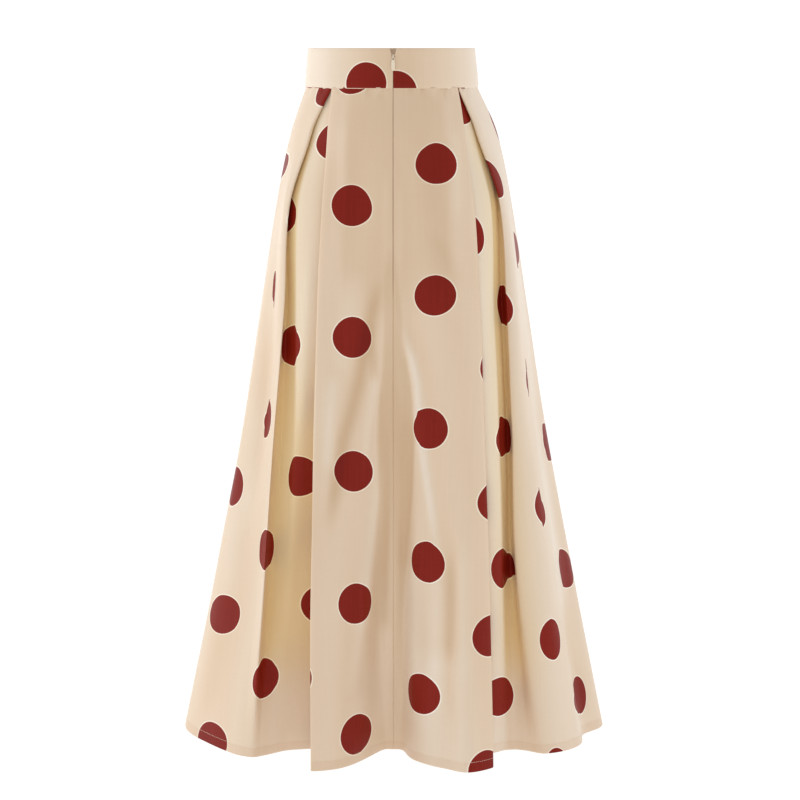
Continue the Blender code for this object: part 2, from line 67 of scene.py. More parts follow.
# The skirt's round outline: how far its sides, back and front lie from the axis
Outline = namedtuple("Outline", "height left right back front")
OUTLINES = [
    Outline(-25.0, 121.0, 116.5, 93.0, 93.0),
    Outline(-85.0, 141.8, 143.9, 113.0, 106.0),
    Outline(-180.0, 162.4, 164.5, 126.0, 117.0),
    Outline(-320.0, 185.3, 187.9, 133.7, 124.9),
    Outline(-474.0, 209.5, 212.5, 140.0, 132.0),
    Outline(-700.0, 254.2, 256.4, 152.1, 145.5),
    Outline(-931.0, 303.0, 303.7, 165.0, 160.0),
]
HEIGHTS = [row.height for row in OUTLINES]
LAYER_PITCH = (2.1, 3.4)        # spacing of a closed pleat's layers at the top heights
LAYERED = len(LAYER_PITCH)

# The lines that run down half a panel, in order from its centre to its side seam. Each has its
# layer in the closed pleat, the number of pieces of cloth from it to the next line, and, at the
# outlines' heights, how far across it lies and, below the closed pleat, how deep: how far behind
# the side seams at the back, or in front of them at the front.
Fold = namedtuple("Fold", "name layer steps across deep")

BACK_LEFT = [
    Fold("centre seam", 0, 2, (0, 0, 0, 0, 0, 0, 0), (126, 133, 137, 130.4, 114)),
    Fold("centre valley", 0, 2, (28, 28, 28, 26.5, 24, 19.1, 12), (124.5, 131.8, 136, 130, 114.5)),
    Fold("flute flank", 0, 2, (45, 45, 44, 43, 42, 41.6, 40), (122.5, 133.4, 142, 150.3, 156)),
    Fold("flute crest", 0, 2, (63, 66, 70, 73.7, 76, 76.6, 72), (119, 134.8, 149, 170.5, 192)),
    Fold("inner fold, face", 0, 2, (82.9, 88, 95, 100.8, 105, 109.9, 110),
         (113, 132.8, 150, 176, 202)),
    Fold("inner fold, back", 1, 2, (82.9, 88, 95, 101.1, 105, 109.8, 109.5),
         (110, 129.4, 146, 171.5, 197)),
    Fold("inner return", 1, 2, (71, 76, 80, 83.1, 86, 94.8, 101), (109.5, 119.6, 128, 143.6, 160)),
    Fold("inner turn, upper", 1, 2, (60, 67, 65.5, 65.4, 67.5, 79.7, 95),
         (110, 113.3, 112, 115.6, 120)),
    Fold("inner turn, lower", 2, 2, (60, 67, 65.5, 65.5, 68, 82.9, 100),
         (106.5, 109.3, 107, 109, 111.5)),
    Fold("underlay", 2, 2, (84, 89, 96, 102.2, 107, 113.9, 117), (102, 107.6, 108, 110.5, 112)),
    Fold("underlay edge", 2, 2, (92, 109, 127, 130.5, 131, 140, 148), (89, 98, 106, 113.2, 119)),
    Fold("valley", 2, 1, (96, 115, 131.5, 135, 137.5, 157.5, 166), (84, 92, 98, 106, 130)),
    Fold("outer turn, lower", 2, 2, (104, 127.5, 143.6, 145.6, 151.5, 167.5, 178),
         (70.2, 78.2, 88, 103, 139)),
    Fold("outer turn, upper", 1, 2, (104, 127.5, 146.4, 149, 155, 172, 183),
         (73, 81, 90, 105.5, 142.5)),
    Fold("outer fold, back", 1, 1, (84.7, 113.2, 141, 148.5, 161.5, 177.3, 188.5),
         (79.5, 90, 99.5, 122, 146)),
    Fold("outer fold, face", 0, 2, (84.7, 113.2, 141, 148.3, 161.5, 177.3, 195),
         (84.5, 95, 104, 126, 147)),
    Fold("outer crest", 0, 2, (96, 124, 146.5, 155, 167.5, 186, 210), (80, 90, 89, 108, 140)),
    Fold("outer flank", 0, 1, (104, 131, 152, 164.2, 177, 213, 234), (60, 63.8, 65, 82, 119)),
    Fold("side", 0, 2, (112, 137, 157.5, 181, 205.5, 246, 266), (38, 38.6, 38, 46, 80)),
    Fold("side seam", 0, 0, (121, 141.8, 162.4, 185.3, 209.5, 254.2, 303), (0, 0, 0, 0, 0)),
]

BACK_RIGHT = [
    Fold("centre seam", 0, 2, (0, 0, 0, 0, 0, 0, 0), (126, 133, 137, 130.4, 114)),
    Fold("centre valley", 0, 2, (26, 26, 24, 22, 20, 16.2, 11), (124.5, 132.3, 138, 132.5, 116)),
    Fold("flute flank", 0, 2, (42, 42, 40, 38.1, 36, 32.9, 28), (122.5, 133.6, 143, 151.7, 158)),
    Fold("flute crest", 0, 2, (60, 63, 66, 68.6, 70, 70.5, 67), (119.5, 134.9, 149, 170, 191)),
    Fold("panel crest", 0, 2, (75, 81, 88, 93.5, 98.5, 101.1, 100), (114, 132, 149, 177.8, 208)),
    Fold("inner fold, face", 0, 2, (87.3, 96.3, 108, 116.3, 121.5, 129.5, 134.6),
         (104, 122.3, 139, 163.4, 188)),
    Fold("inner fold, back", 1, 2, (87.3, 96.3, 108, 116.8, 121.5, 129.5, 134.2),
         (101, 118.7, 135, 159.3, 184)),
    Fold("inner turn, upper", 1, 2, (64.5, 72.5, 83, 91.5, 97, 110.4, 124),
         (108, 115.5, 122, 130.1, 137)),
    Fold("inner turn, lower", 2, 2, (64.5, 72.5, 83, 92.3, 99, 113, 127),
         (104.5, 111.5, 117, 123.7, 129)),
    Fold("underlay", 2, 2, (89, 98, 109, 117.2, 121, 130.3, 139), (98, 116.1, 130, 133.5, 129)),
    Fold("underlay edge", 2, 1, (96, 112.5, 131, 134.8, 140.5, 148.5, 153),
         (87, 102, 121, 125.3, 119)),
    Fold("edge flank", 2, 2, (99, 116, 133, 137.5, 144, 153, 161), (81, 94, 104, 112.6, 115.5)),
    Fold("valley", 2, 1, (101, 124, 138.5, 143.5, 150, 158, 171), (76, 86, 96, 101, 114)),
    Fold("outer turn, lower", 2, 2, (104, 131, 142.5, 148, 155.3, 163.3, 180),
         (67, 77, 87, 97, 117)),
    Fold("outer turn, upper", 1, 2, (104, 131, 144.5, 150.3, 158.3, 167, 186),
         (68.5, 78.5, 89.5, 99.5, 120)),
    Fold("outer fold, back", 1, 1, (89.3, 114.9, 145, 154.2, 161.4, 169.6, 196),
         (76.5, 88, 103, 115, 127)),
    Fold("outer fold, face", 0, 2, (89.3, 114.9, 145.3, 154.7, 161.7, 172, 207),
         (81.5, 92.5, 108, 119.5, 132)),
    Fold("outer crest", 0, 2, (98, 125, 152, 167, 179, 208.4, 240), (75, 91.8, 105, 112.9, 119)),
    Fold("outer flank", 0, 1, (104, 132, 158.5, 176, 192, 225.8, 262), (56, 65.6, 76, 85.3, 94)),
    Fold("side", 0, 2, (110, 138.5, 162, 182, 200, 234, 270), (32, 36.4, 42, 47.8, 53)),
    Fold("side seam", 0, 0, (116.5, 143.9, 164.5, 187.9, 212.5, 256.4, 303.7), (0, 0, 0, 0, 0)),
]

FRONT = [
    Fold("centre", 0, 2, (0, 0, 0, 0, 0, 0, 0), (117, 124.4, 130, 138.5, 146)),
    Fold("flute flank", 0, 2, (34, 36, 38, 40, 42, 44.7, 46), (116, 124.6, 132, 145.6, 160)),
    Fold("panel crest", 0, 2, (62, 66, 72, 77.4, 82, 88.5, 92), (111.5, 125.4, 138, 160.4, 184)),
    Fold("inner fold, face", 0, 2, (84.5, 92, 103, 111.8, 118, 125.9, 130),
         (102, 120.9, 137, 158.6, 180)),
    Fold("inner fold, back", 1, 2, (84.5, 92, 103, 112.2, 118, 125.8, 129.5),
         (99, 117.4, 133, 154, 175)),
    Fold("inner turn, upper", 1, 2, (60, 65, 69, 78.3, 88, 102.8, 117),
         (105, 111.8, 117, 122.7, 126)),
    Fold("inner turn, lower", 2, 2, (60, 65, 69, 79.3, 90, 105.8, 121),
         (101.5, 107.8, 112, 116.3, 118)),
    Fold("underlay", 2, 2, (86, 95, 105, 113.7, 122, 131, 136), (94, 103.5, 112, 116.6, 114)),
    Fold("underlay edge", 2, 2, (92, 104, 129, 138.7, 140, 148.9, 155),
         (82, 93.5, 108, 116.7, 119)),
    Fold("valley", 2, 1, (98, 117, 139, 149.4, 151, 164, 172), (62, 71.8, 86, 106, 127)),
    Fold("outer turn, lower", 2, 2, (107, 132, 148.5, 158.8, 158, 174.7, 186),
         (43, 55.4, 74, 101.7, 135)),
    Fold("outer turn, upper", 1, 2, (107, 132, 151, 162, 162, 179.1, 191),
         (44, 56.8, 76, 104.1, 138)),
    Fold("outer fold, back", 1, 1, (86.5, 114.5, 142.8, 159.5, 168, 184.8, 198),
         (74, 87, 102, 121, 141)),
    Fold("outer fold, face", 0, 2, (86.5, 114.5, 143, 159.4, 168, 187.4, 206),
         (79, 92.4, 107, 123.7, 141)),
    Fold("outer crest", 0, 2, (98, 126, 149, 166, 180, 203.7, 228), (72, 89.1, 102, 117.1, 132)),
    Fold("outer flank", 0, 1, (105, 132.5, 155, 172.4, 190, 222.8, 256), (52, 60.2, 68, 84.2, 104)),
    Fold("side", 0, 2, (113, 138, 160.5, 181.5, 203, 243.8, 286), (28, 30.5, 34, 43.4, 56)),
    Fold("side seam", 0, 0, (118.8, 142.8, 163.4, 186.6, 211, 255.3, 303.4), (0, 0, 0, 0, 0)),
]

# The waistband's ring, and half the gap between its ends
BandLevel = namedtuple("BandLevel", "height left right back front half_gap")
BAND_LEVELS = [
    BandLevel(BAND_BOTTOM, 121.3, 116.8, 93.3, 93.3, 0.15),
    BandLevel(2.0, 118.8, 114.2, 91.3, 91.3, 0.15),
    BandLevel(13.0, 117.8, 113.0, 90.6, 90.6, 0.5),
    BandLevel(17.0, 117.5, 112.6, 90.4, 90.4, 1.4),
    BandLevel(BAND_TOP, 116.5, 111.5, 89.7, 89.7, 4.6),
]

# Zip
PIVOT_HEIGHT = 17.6             # the pull tab's hinge line
PIVOT_STANDOFF = 2.4            # from the band's face to the hinge line
ARCH_OUTER, ARCH_INNER = 2.2, 1.2    # radii of the arch that carries the tab
TAB_LENGTH = 19.0
TAB_WIDTHS = (4.0, 6.0)         # at its top and its rounded foot
TAB_THICKNESS = 1.0
TAB_BAR = 0.7                   # half height of the bar above the eye
TAB_EYE_HALF = (1.15, 1.7)      # half the eye's width and height
TAB_CORNER, EYE_CORNER = 0.55, 0.5   # powers below 1 square an oval's corners
ZIP_END = -281.0
TAPE_SETBACK_BAND = 2.05        # from the band's middle to the tape's middle
TAPE_SETBACK_CLOTH = 1.45       # from the cloth's middle to the tape's middle
BAND_STEP_FADES = 30.0          # the tapes drop to the thinner cloth over this height

# ---------------------------------------------------------------- sewing
SEAM_ROLL = 0.9                 # radius with which a seam's edge turns in
SEAM_WALL = 1.4                 # depth of the turned edge below that
SLIT_HEIGHTS = (-931.0, -300.0, -281.0, -60.0, -25.0)
SLIT_HALF_WIDTHS = (0.2, 0.25, 0.55, 0.65, 0.4)    # half the centre seam's gap, wider at the zip
WAIST_ALLOWANCE = 2.5           # cloth that goes up into the waistband
HEM_ROLL = 0.6                  # radius with which the hem turns up
HEM_DEPTH = 15.0                # cloth turned up inside
HEM_STITCH_UP = 12.5            # stitching above the hem's edge
HEM_ROWS = (HEM_DEPTH, HEM_STITCH_UP, 9.0, 5.0, 2.0, 0.0)    # rows of points above the edge
# Cloth from the edge to each row of the turned part: those in the turn, and those above it
TURN_ANGLES = (45, 90, 135, 180)
TURNED_RUNS = (0.5, 0.9, 1.4, 1.9, 3.4, 6.4, 10.4, 14.0, 16.4)
STITCH_PITCH = 3.2
STITCH_LENGTH = 2.5
STITCH_RADIUS = 0.24

# ---------------------------------------------------------------- print
REPEAT = 180.0                  # the half-drop print repeats after this, across and along
DOT_RADIUS = 27.5
RING_WIDTH = 2.2                # pale rim round each dot
PRINT_COLUMN = 57.0             # cloth between the centre seam and the first column of dots


# ================================================================ curves
def smooth_between(positions, knots, values):
    """Monotone cubic curve through the knots, at many positions."""
    order = np.argsort(knots)
    knots = np.asarray(knots, float)[order]
    values = np.asarray(values, float)[order]
    spans = np.diff(knots)
    slopes = np.diff(values) / spans
    tangents = np.concatenate([slopes[:1], np.zeros(len(slopes) - 1), slopes[-1:]])
    for i in range(1, len(slopes)):
        if slopes[i - 1] * slopes[i] > 0:
            near, far = 2 * spans[i] + spans[i - 1], spans[i] + 2 * spans[i - 1]
            tangents[i] = (near + far) / (near / slopes[i - 1] + far / slopes[i])
    i = np.clip(np.searchsorted(knots, positions) - 1, 0, len(spans) - 1)
    t = (positions - knots[i]) / spans[i]
    return ((2 * t**3 - 3 * t**2 + 1) * values[i] + (t**3 - 2 * t**2 + t) * spans[i] * tangents[i]
            + (3 * t**2 - 2 * t**3) * values[i + 1] + (t**3 - t**2) * spans[i] * tangents[i + 1])


def flowing_lines(controls, steps):
    """Centripetal Catmull-Rom lines, one for each row of controls (rows, points, 2).

    The first and last points of controls only guide the ends.
    """
    lines = [controls[:, 1:2]]
    for i, count in enumerate(steps):
        a, b, c, d = (controls[:, i + k][:, None] for k in range(4))
        t1 = np.sqrt(np.linalg.norm(b - a, axis=2, keepdims=True))
        t2 = t1 + np.sqrt(np.linalg.norm(c - b, axis=2, keepdims=True))
        t3 = t2 + np.sqrt(np.linalg.norm(d - c, axis=2, keepdims=True))
        share = (np.arange(count) + 1.0) / count
        t = t1 + (t2 - t1) * share[None, :, None]
        ab = a + (b - a) * t / t1
        bc = b + (c - b) * (t - t1) / (t2 - t1)
        cd = c + (d - c) * (t - t2) / (t3 - t2)
        abc = ab + (bc - ab) * t / t2
        bcd = bc + (cd - bc) * (t - t1) / (t3 - t1)
        lines.append(abc + (bcd - abc) * (t - t1) / (t2 - t1))
    return np.concatenate(lines, axis=1)


def ramp(value, start, end):
    """0 before start, 1 after end, smooth between."""
    t = np.clip((value - start) / (end - start), 0.0, 1.0)
    return t * t * (3 - 2 * t)


def unit(vectors):
    return vectors / np.linalg.norm(vectors, axis=-1, keepdims=True)


# ================================================================ sections of the skirt
def on_outline(turn, stand, width, depth):
    """Points at angles from the centre line round ellipses, standing out along their normals."""
    normal = unit(np.stack([depth * np.sin(turn), width * np.cos(turn)], axis=-1))
    foot = np.stack([width * np.sin(turn), depth * np.cos(turn)], axis=-1)
    return foot + stand[..., None] * normal


SEARCH_STEPS, SEARCH_PACE = 30, 0.7    # of the search for a point's foot on the ellipse


def outline_place(across, deep, width, depth):
    """The angle and stand of a point, the reverse of on_outline."""
    turn = math.atan2(across / width, deep / depth)
    for _ in range(SEARCH_STEPS):
        foot = np.array([width * math.sin(turn), depth * math.cos(turn)])
        tangent = np.array([width * math.cos(turn), -depth * math.sin(turn)])
        speed = np.linalg.norm(tangent)
        turn += np.dot(np.array([across, deep]) - foot, tangent / speed) / speed * SEARCH_PACE
    foot = np.array([width * math.sin(turn), depth * math.cos(turn)])
    normal = np.array([depth * math.sin(turn), width * math.cos(turn)])
    normal /= np.linalg.norm(normal)
    return turn, float(np.dot(np.array([across, deep]) - foot, normal))


def fold_places(fold, side, face):
    """The fold's turns and stands at the heights of the outlines."""
    places = []
    for level, row in enumerate(OUTLINES):
        width, depth = getattr(row, side), getattr(row, face)
        across = fold.across[level]
        if face == "front":
            across *= width / (0.5 * (row.left + row.right))
        if level < LAYERED:
            turn = math.asin(min(1.0, across / width))
            places.append((turn, -fold.layer * LAYER_PITCH[level]))
        else:
            places.append(outline_place(across, fold.deep[level - LAYERED], width, depth))
    return tuple(zip(*places))


def half_sections(folds, side, face, heights, refine):
    """Middle lines of half a panel at the heights: (rows, columns, 2), and each fold's column."""
    width = smooth_between(heights, HEIGHTS, [getattr(row, side) for row in OUTLINES])[:, None]
    depth = smooth_between(heights, HEIGHTS, [getattr(row, face) for row in OUTLINES])[:, None]
    radius = 0.5 * (width + depth)
    along, stand = [], []
    for fold in folds:
        turns, stands = fold_places(fold, side, face)
        along.append(smooth_between(heights, HEIGHTS, turns) * radius[:, 0])
        stand.append(smooth_between(heights, HEIGHTS, stands))
    controls = np.stack([np.array(along).T, np.array(stand).T], axis=-1)
    before, after = controls[:, 1:2].copy(), controls[:, -2:-1].copy()
    before[..., 0] *= -1
    after[..., 0] = math.pi * radius - after[..., 0]
    steps = [fold.steps * refine for fold in folds[:-1]]
    lines = flowing_lines(np.concatenate([before, controls, after], axis=1), steps)
    points = on_outline(lines[..., 0] / radius, lines[..., 1], width, depth)
    columns = dict(zip([fold.name for fold in folds], np.concatenate([[0], np.cumsum(steps)])))
    return points, columns


def lifted(heights, y):
    """Heights of points: the waist's plane rises towards the front."""
    fade = np.clip((heights - RISE_FADES_AT) / (HEIGHTS[0] - RISE_FADES_AT), 0.0, 1.0)
    return heights + WAIST_RISE * fade * (1.0 - y / OUTLINES[0].back)


def line_normals(lines):
    """Unit normals of rows of (across, deep) points, on the outer side."""
    along = unit(np.gradient(lines, axis=1))
    return np.stack([-along[..., 1], along[..., 0]], axis=-1)


def run_length(lines):
    """Distance along each row of points from its first point."""
    pieces = np.linalg.norm(np.diff(lines, axis=1), axis=2)
    return np.concatenate([np.zeros((len(lines), 1)), np.cumsum(pieces, axis=1)], axis=1)


# ================================================================ creases and unevenness
# A soft ridge (height above 0) or trough: its zone of the panel, the points (across, height of
# the section) that it runs through, its half width and how far it stands out
Crease = namedtuple("Crease", "zone path half_width stand")


def in_zones(**rows):
    """Creases from the rows for each zone."""
    return [Crease(zone, *row) for zone in rows for row in rows[zone]]


CREASES_BACK_LEFT = in_zones(
    centre=[
        (((12, -240), (24, -303), (36, -354), (46, -409), (56, -450), (67, -490), (75, -544),
          (84, -600), (88, -650)), 10, -1.6),
        (((17, -370), (28, -436), (34, -477), (38, -540)), 6, 2.2),
        (((52, -255), (58, -330), (72, -420)), 14, 1.6),
        (((86, -380), (88, -476), (92, -640)), 7, 1.6),
        (((14, -500), (21, -571), (30, -652), (42, -736), (54, -818), (48, -900)), 9, 2.8),
        (((6, -420), (8, -560), (14, -680), (22, -800), (22, -900)), 11, -2.2),
        (((66, -50), (66, -95), (64, -190)), 8, 1.3),
        (((7, -120), (9, -210), (6, -290)), 6, 0.9),
    ],
    valley=[
        (((112, -210), (118, -330), (126, -520)), 7, 1.2),
        (((128, -560), (134, -700), (150, -880)), 11, -1.4),
    ],
    flank=[
        (((168, -300), (180, -440), (196, -600)), 9, -1.8),
        (((180, -420), (196, -540), (208, -650)), 10, 2.2),
        (((216, -560), (230, -680), (246, -800)), 12, 1.6),
        (((222, -680), (244, -800), (268, -925)), 13, -1.8),
    ])

CREASES_BACK_RIGHT = in_zones(
    centre=[
        (((2, -290), (8, -335), (16, -358), (25, -382), (32, -416), (34, -450), (37, -490),
          (42, -531), (49, -571), (57, -625), (60, -690)), 5, 3.4),
        (((12, -420), (20, -490), (20, -560), (16, -640), (8, -740), (8, -860)), 9, -2.4),
        (((56, -600), (60, -690), (56, -790), (44, -900)), 12, 2.2),
        (((30, -600), (24, -690), (26, -800), (30, -900)), 8, 1.8),
        (((76, -600), (75, -704), (73, -811), (80, -910)), 9, -2.6),
        (((94, -600), (94, -702), (95, -840)), 8, 1.8),
        (((82, -60), (84, -110), (84, -210)), 7, 1.3),
        (((46, -206), (60, -226), (78, -258), (92, -300)), 10, -1.0),
        (((6, -130), (8, -210), (6, -290)), 5, 1.3),
    ],
    valley=[
        (((140, -300), (148, -470), (156, -640)), 7, 1.2),
    ],
    flank=[
        (((170, -300), (182, -440), (200, -600)), 9, -1.5),
        (((200, -480), (222, -640), (240, -790)), 12, 1.6),
        (((232, -700), (250, -810), (276, -925)), 12, -1.8),
    ])

CREASES_FRONT = in_zones(
    centre=[
        (((12, -240), (26, -380), (38, -560)), 12, -1.5),
        (((52, -300), (64, -460), (78, -640)), 13, 1.4),
        (((30, -600), (44, -760), (58, -920)), 14, 1.8),
        (((64, -60), (66, -110), (68, -180)), 9, 0.9),
    ],
    valley=[
        (((118, -300), (130, -480), (142, -700)), 9, 1.2),
    ],
    flank=[
        (((168, -300), (182, -450), (206, -640)), 10, -1.3),
        (((206, -560), (226, -700), (252, -880)), 13, 1.4),
    ])

ZONES = {
    "centre": (None, "inner fold, face"),
    "valley": ("inner turn, lower", "outer turn, lower"),
    "flank": ("outer fold, face", "side seam"),
}
ZONE_EDGE = 9.0                 # creases fade out over this much cloth at their zone's edge
SEAM_FLAT = 12.0                # and over this much at a seam
CREASE_TAPER = 0.3              # share of a crease's length over which each end rises

# Puckers where the gathered seam pulls at the cloth below the waistband
PUCKERS = 16                    # for each half panel
PUCKERS_AT_CENTRE = 0.72        # share of them that lies between the centre and the pleat
PUCKER_LEAN = 0.8               # most that one leans, for each millimetre of its length
PUCKER_SIGNS = (-1.0, 0.8)      # troughs are deeper than ridges are high
PUCKER_FULL = 0.35              # it fades from this share of its length on
PUCKER_CLEAR = (4.0, 2.0, 4.0)  # of the centre, of the pleat's outer fold and of the zone's end
PUCKER_RISE = 2.0               # it starts this far above the waist seam
PUCKER_LENGTH = (7.0, 22.0)
PUCKER_HALF_WIDTH = (1.6, 3.2)
PUCKER_STAND = 0.75

# Slow waves that keep the cloth from lying dead flat: how long across and along, and how high
UNEVEN_ACROSS = (46.0, 120.0)
UNEVEN_ALONG = (130.0, 420.0)
UNEVEN_STAND = 0.5
UNEVEN_WAVES = 9
UNEVEN_SLANT = 0.25             # most that one climbs for each millimetre across
UNEVEN_STARTS = (30.0, 140.0)   # they rise between these depths below the waist's plane


def distance_to_path(places, heights, path):
    """Distance of each point to a broken line, and how far along the line it is, from 0 to 1."""
    path = np.asarray(path, float)
    pieces = np.diff(path, axis=0)
    lengths = np.linalg.norm(pieces, axis=1)
    starts = np.concatenate([[0.0], np.cumsum(lengths)])
    best = np.full(places.shape, np.inf)
    along = np.zeros(places.shape)
    for i, piece in enumerate(pieces):
        dx, dz = places - path[i, 0], heights - path[i, 1]
        t = np.clip((dx * piece[0] + dz * piece[1]) / lengths[i] ** 2, 0.0, 1.0)
        away = np.hypot(dx - t * piece[0], dz - t * piece[1])
        nearer = away < best
        best = np.where(nearer, away, best)
        along = np.where(nearer, (starts[i] + t * lengths[i]) / starts[-1], along)
    return best, along


def zone_weights(zone, columns, run):
    """1 inside the zone's columns, fading to 0 at its edges."""
    first, last = ZONES[zone]
    weights = np.ones(run.shape)
    if first:
        weights *= ramp(run, run[:, [columns[first]]], run[:, [columns[first]]] + ZONE_EDGE)
    end = run[:, [columns[last]]]
    if last != "side seam":
        weights *= 1 - ramp(run, end - ZONE_EDGE, end)
    return weights


def crease_stand(creases, lines, heights, columns, run):
    """How far the creases move each point outwards."""
    stand = np.zeros(run.shape)
    grid_heights = np.broadcast_to(heights[:, None], run.shape)
    for crease in creases:
        away, along = distance_to_path(lines[..., 0], grid_heights, crease.path)
        shape = np.exp(-(away / crease.half_width) ** 2)
        taper = ramp(along, 0.0, CREASE_TAPER) * (1 - ramp(along, 1.0 - CREASE_TAPER, 1.0))
        stand += crease.stand * shape * taper * zone_weights(crease.zone, columns, run)
    return stand


def pucker_stand(lines, heights, columns, run, rng):
    """How far short, scattered puckers below the waist seam move each point outwards."""
    stand = np.zeros(run.shape)
    grid_heights = np.broadcast_to(heights[:, None], run.shape)
    for _ in range(PUCKERS):
        zone = "centre" if rng.random() < PUCKERS_AT_CENTRE else "flank"
        first, last = ZONES[zone]
        low = lines[0, columns[first], 0] + PUCKER_CLEAR[1] if first else PUCKER_CLEAR[0]
        place = rng.uniform(low, lines[0, columns[last], 0] - PUCKER_CLEAR[2])
        length = rng.uniform(*PUCKER_LENGTH)
        lean = rng.uniform(-PUCKER_LEAN, PUCKER_LEAN) * length
        path = ((place, HEIGHTS[0] + PUCKER_RISE), (place + lean, HEIGHTS[0] - length))
        away, along = distance_to_path(lines[..., 0], grid_heights, path)
        half_width = rng.uniform(*PUCKER_HALF_WIDTH)
        shape = np.exp(-(away / half_width) ** 2) * (1 - ramp(along, PUCKER_FULL, 1.0))
        stand += (rng.choice(PUCKER_SIGNS) * PUCKER_STAND * shape
                  * zone_weights(zone, columns, run))
    return stand


def uneven_stand(heights, run, rng):
    """How far slow, slanting waves move each point outwards."""
    stand = np.zeros(run.shape)
    for _ in range(UNEVEN_WAVES):
        across, along = rng.uniform(*UNEVEN_ACROSS), rng.uniform(*UNEVEN_ALONG)
        phase = rng.uniform(0, 2 * math.pi)
        slant = rng.uniform(-UNEVEN_SLANT, UNEVEN_SLANT)
        turns = run / across + (heights[:, None] + slant * run) / along
        stand += np.sin(2 * math.pi * turns + phase)
    stand *= UNEVEN_STAND / math.sqrt(UNEVEN_WAVES)
    return stand * ramp(-heights, *UNEVEN_STARTS)[:, None]


# ================================================================ the print's place on the cloth
# The dots stand in one half-drop lattice on each panel. These are the folds' places in the
# print, in mm of cloth from the centre seam, at each of PRINT_HEIGHTS. The front's places are
# the lengths of its cloth.
PRINT_HEIGHTS = (-25, -60, -100, -145, -195, -245, -295, -370, -470, -560, -650, -735, -830,
                 -931)
PLACES_LEFT = {
    "centre seam": (0, 0, 0, 0, 0, 0, 0, 0, 0, 0, 0, 0, 0, 0),
    "centre valley": (28, 28, 28, 29, 30, 27, 27, 26, 27, 24, 18, 15, 12, 8),
    "flute flank": (46, 46, 46, 46, 45, 46, 45, 45, 45, 44, 46, 44, 44, 42),
    "flute crest": (66, 68, 70, 71, 73, 75, 77, 79, 81, 83, 86, 88, 87, 87),
    "inner fold, face": (89, 91, 93, 96, 99, 101, 102, 105, 108, 111, 115, 118, 122, 126),
    "inner fold, back": (92, 96, 97, 99, 102, 104, 106, 109, 112, 116, 121, 123, 127, 131),
    "inner return": (109, 112, 113, 114, 117, 121, 125, 131, 138, 147, 156, 163, 174, 184),
    "inner turn, upper": (124, 125, 125, 128, 133, 137, 142, 150, 165, 179, 193, 208, 222, 239),
    "inner turn, lower": (126, 130, 129, 133, 137, 140, 146, 155, 170, 186, 204, 219, 236, 252),
    "underlay": (155, 157, 160, 164, 169, 173, 178, 189, 205, 221, 241, 255, 263, 270),
    "underlay edge": (164, 171, 178, 191, 204, 206, 209, 216, 228, 241, 265, 277, 289, 301),
    "valley": (170, 176, 181, 201, 213, 222, 231, 240, 252, 266, 287, 297, 305, 321),
    "outer turn, lower": (188, 204, 213, 223, 226, 232, 244, 252, 267, 283, 299, 309, 319, 335),
    "outer turn, upper": (192, 208, 218, 227, 234, 240, 247, 257, 274, 291, 310, 319, 327, 340),
    "outer fold, back": (245, 253, 265, 263, 260, 260, 262, 267, 279, 302, 323, 336, 343, 346),
    "outer fold, face": (247, 255, 268, 268, 265, 264, 266, 269, 283, 307, 327, 340, 347, 353),
    "outer crest": (257, 267, 283, 279, 271, 270, 273, 279, 298, 327, 348, 357, 363, 366),
    "outer flank": (267, 279, 296, 295, 290, 295, 299, 304, 323, 352, 380, 394, 394, 393),
    "side": (281, 297, 303, 302, 296, 301, 311, 319, 357, 410, 420, 433, 429, 430),
    "side seam": (315, 316, 307, 309, 321, 326, 333, 336, 378, 451, 465, 470, 481, 499),
}
PLACES_RIGHT = {
    "centre seam": (0, 0, 0, 0, 0, 0, 0, 0, 0, 0, 0, 0, 0, 0),
    "centre valley": (25, 25, 26, 25, 24, 23, 23, 22, 21, 19, 17, 15, 13, 9),
    "flute flank": (42, 41, 40, 40, 39, 39, 40, 40, 39, 39, 42, 44, 48, 49),
    "flute crest": (60, 62, 63, 64, 65, 67, 70, 73, 74, 79, 84, 87, 90, 91),
    "panel crest": (77, 81, 83, 85, 89, 90, 92, 97, 101, 102, 109, 114, 119, 119),
    "inner fold, face": (93, 98, 102, 106, 111, 113, 116, 120, 123, 122, 138, 146, 154, 161),
    "inner fold, back": (95, 101, 106, 109, 113, 117, 120, 123, 127, 126, 142, 151, 158, 165),
    "inner turn, upper": (118, 122, 122, 123, 124, 127, 131, 139, 150, 161, 172, 184, 198, 215),
    "inner turn, lower": (119, 124, 125, 125, 126, 128, 133, 143, 156, 167, 179, 191, 206, 223),
    "underlay": (144, 152, 156, 157, 156, 157, 161, 169, 185, 194, 200, 210, 222, 234),
    "underlay edge": (153, 165, 174, 186, 199, 198, 189, 194, 200, 220, 229, 236, 241, 252),
    "edge flank": (157, 170, 180, 194, 205, 204, 199, 206, 216, 235, 245, 248, 251, 260),
    "valley": (163, 180, 192, 206, 217, 218, 213, 218, 236, 246, 255, 260, 263, 271),
    "outer turn, lower": (169, 193, 208, 217, 221, 223, 228, 233, 238, 247, 255, 263, 270, 279),
    "outer turn, upper": (173, 197, 212, 218, 222, 224, 229, 233, 243, 251, 258, 265, 273, 282),
    "outer fold, back": (207, 228, 237, 237, 241, 247, 248, 250, 260, 267, 262, 263, 278, 285),
    "outer fold, face": (209, 231, 241, 243, 247, 254, 256, 256, 265, 272, 272, 266, 288, 295),
    "outer crest": (224, 249, 258, 255, 257, 264, 269, 270, 286, 290, 301, 315, 337, 350),
    "outer flank": (236, 265, 276, 277, 284, 295, 298, 293, 310, 318, 332, 356, 384, 395),
    "side": (252, 285, 299, 303, 299, 297, 304, 300, 310, 337, 373, 388, 396, 416),
    "side seam": (286, 320, 332, 333, 312, 310, 320, 332, 347, 366, 419, 434, 482, 527),
}

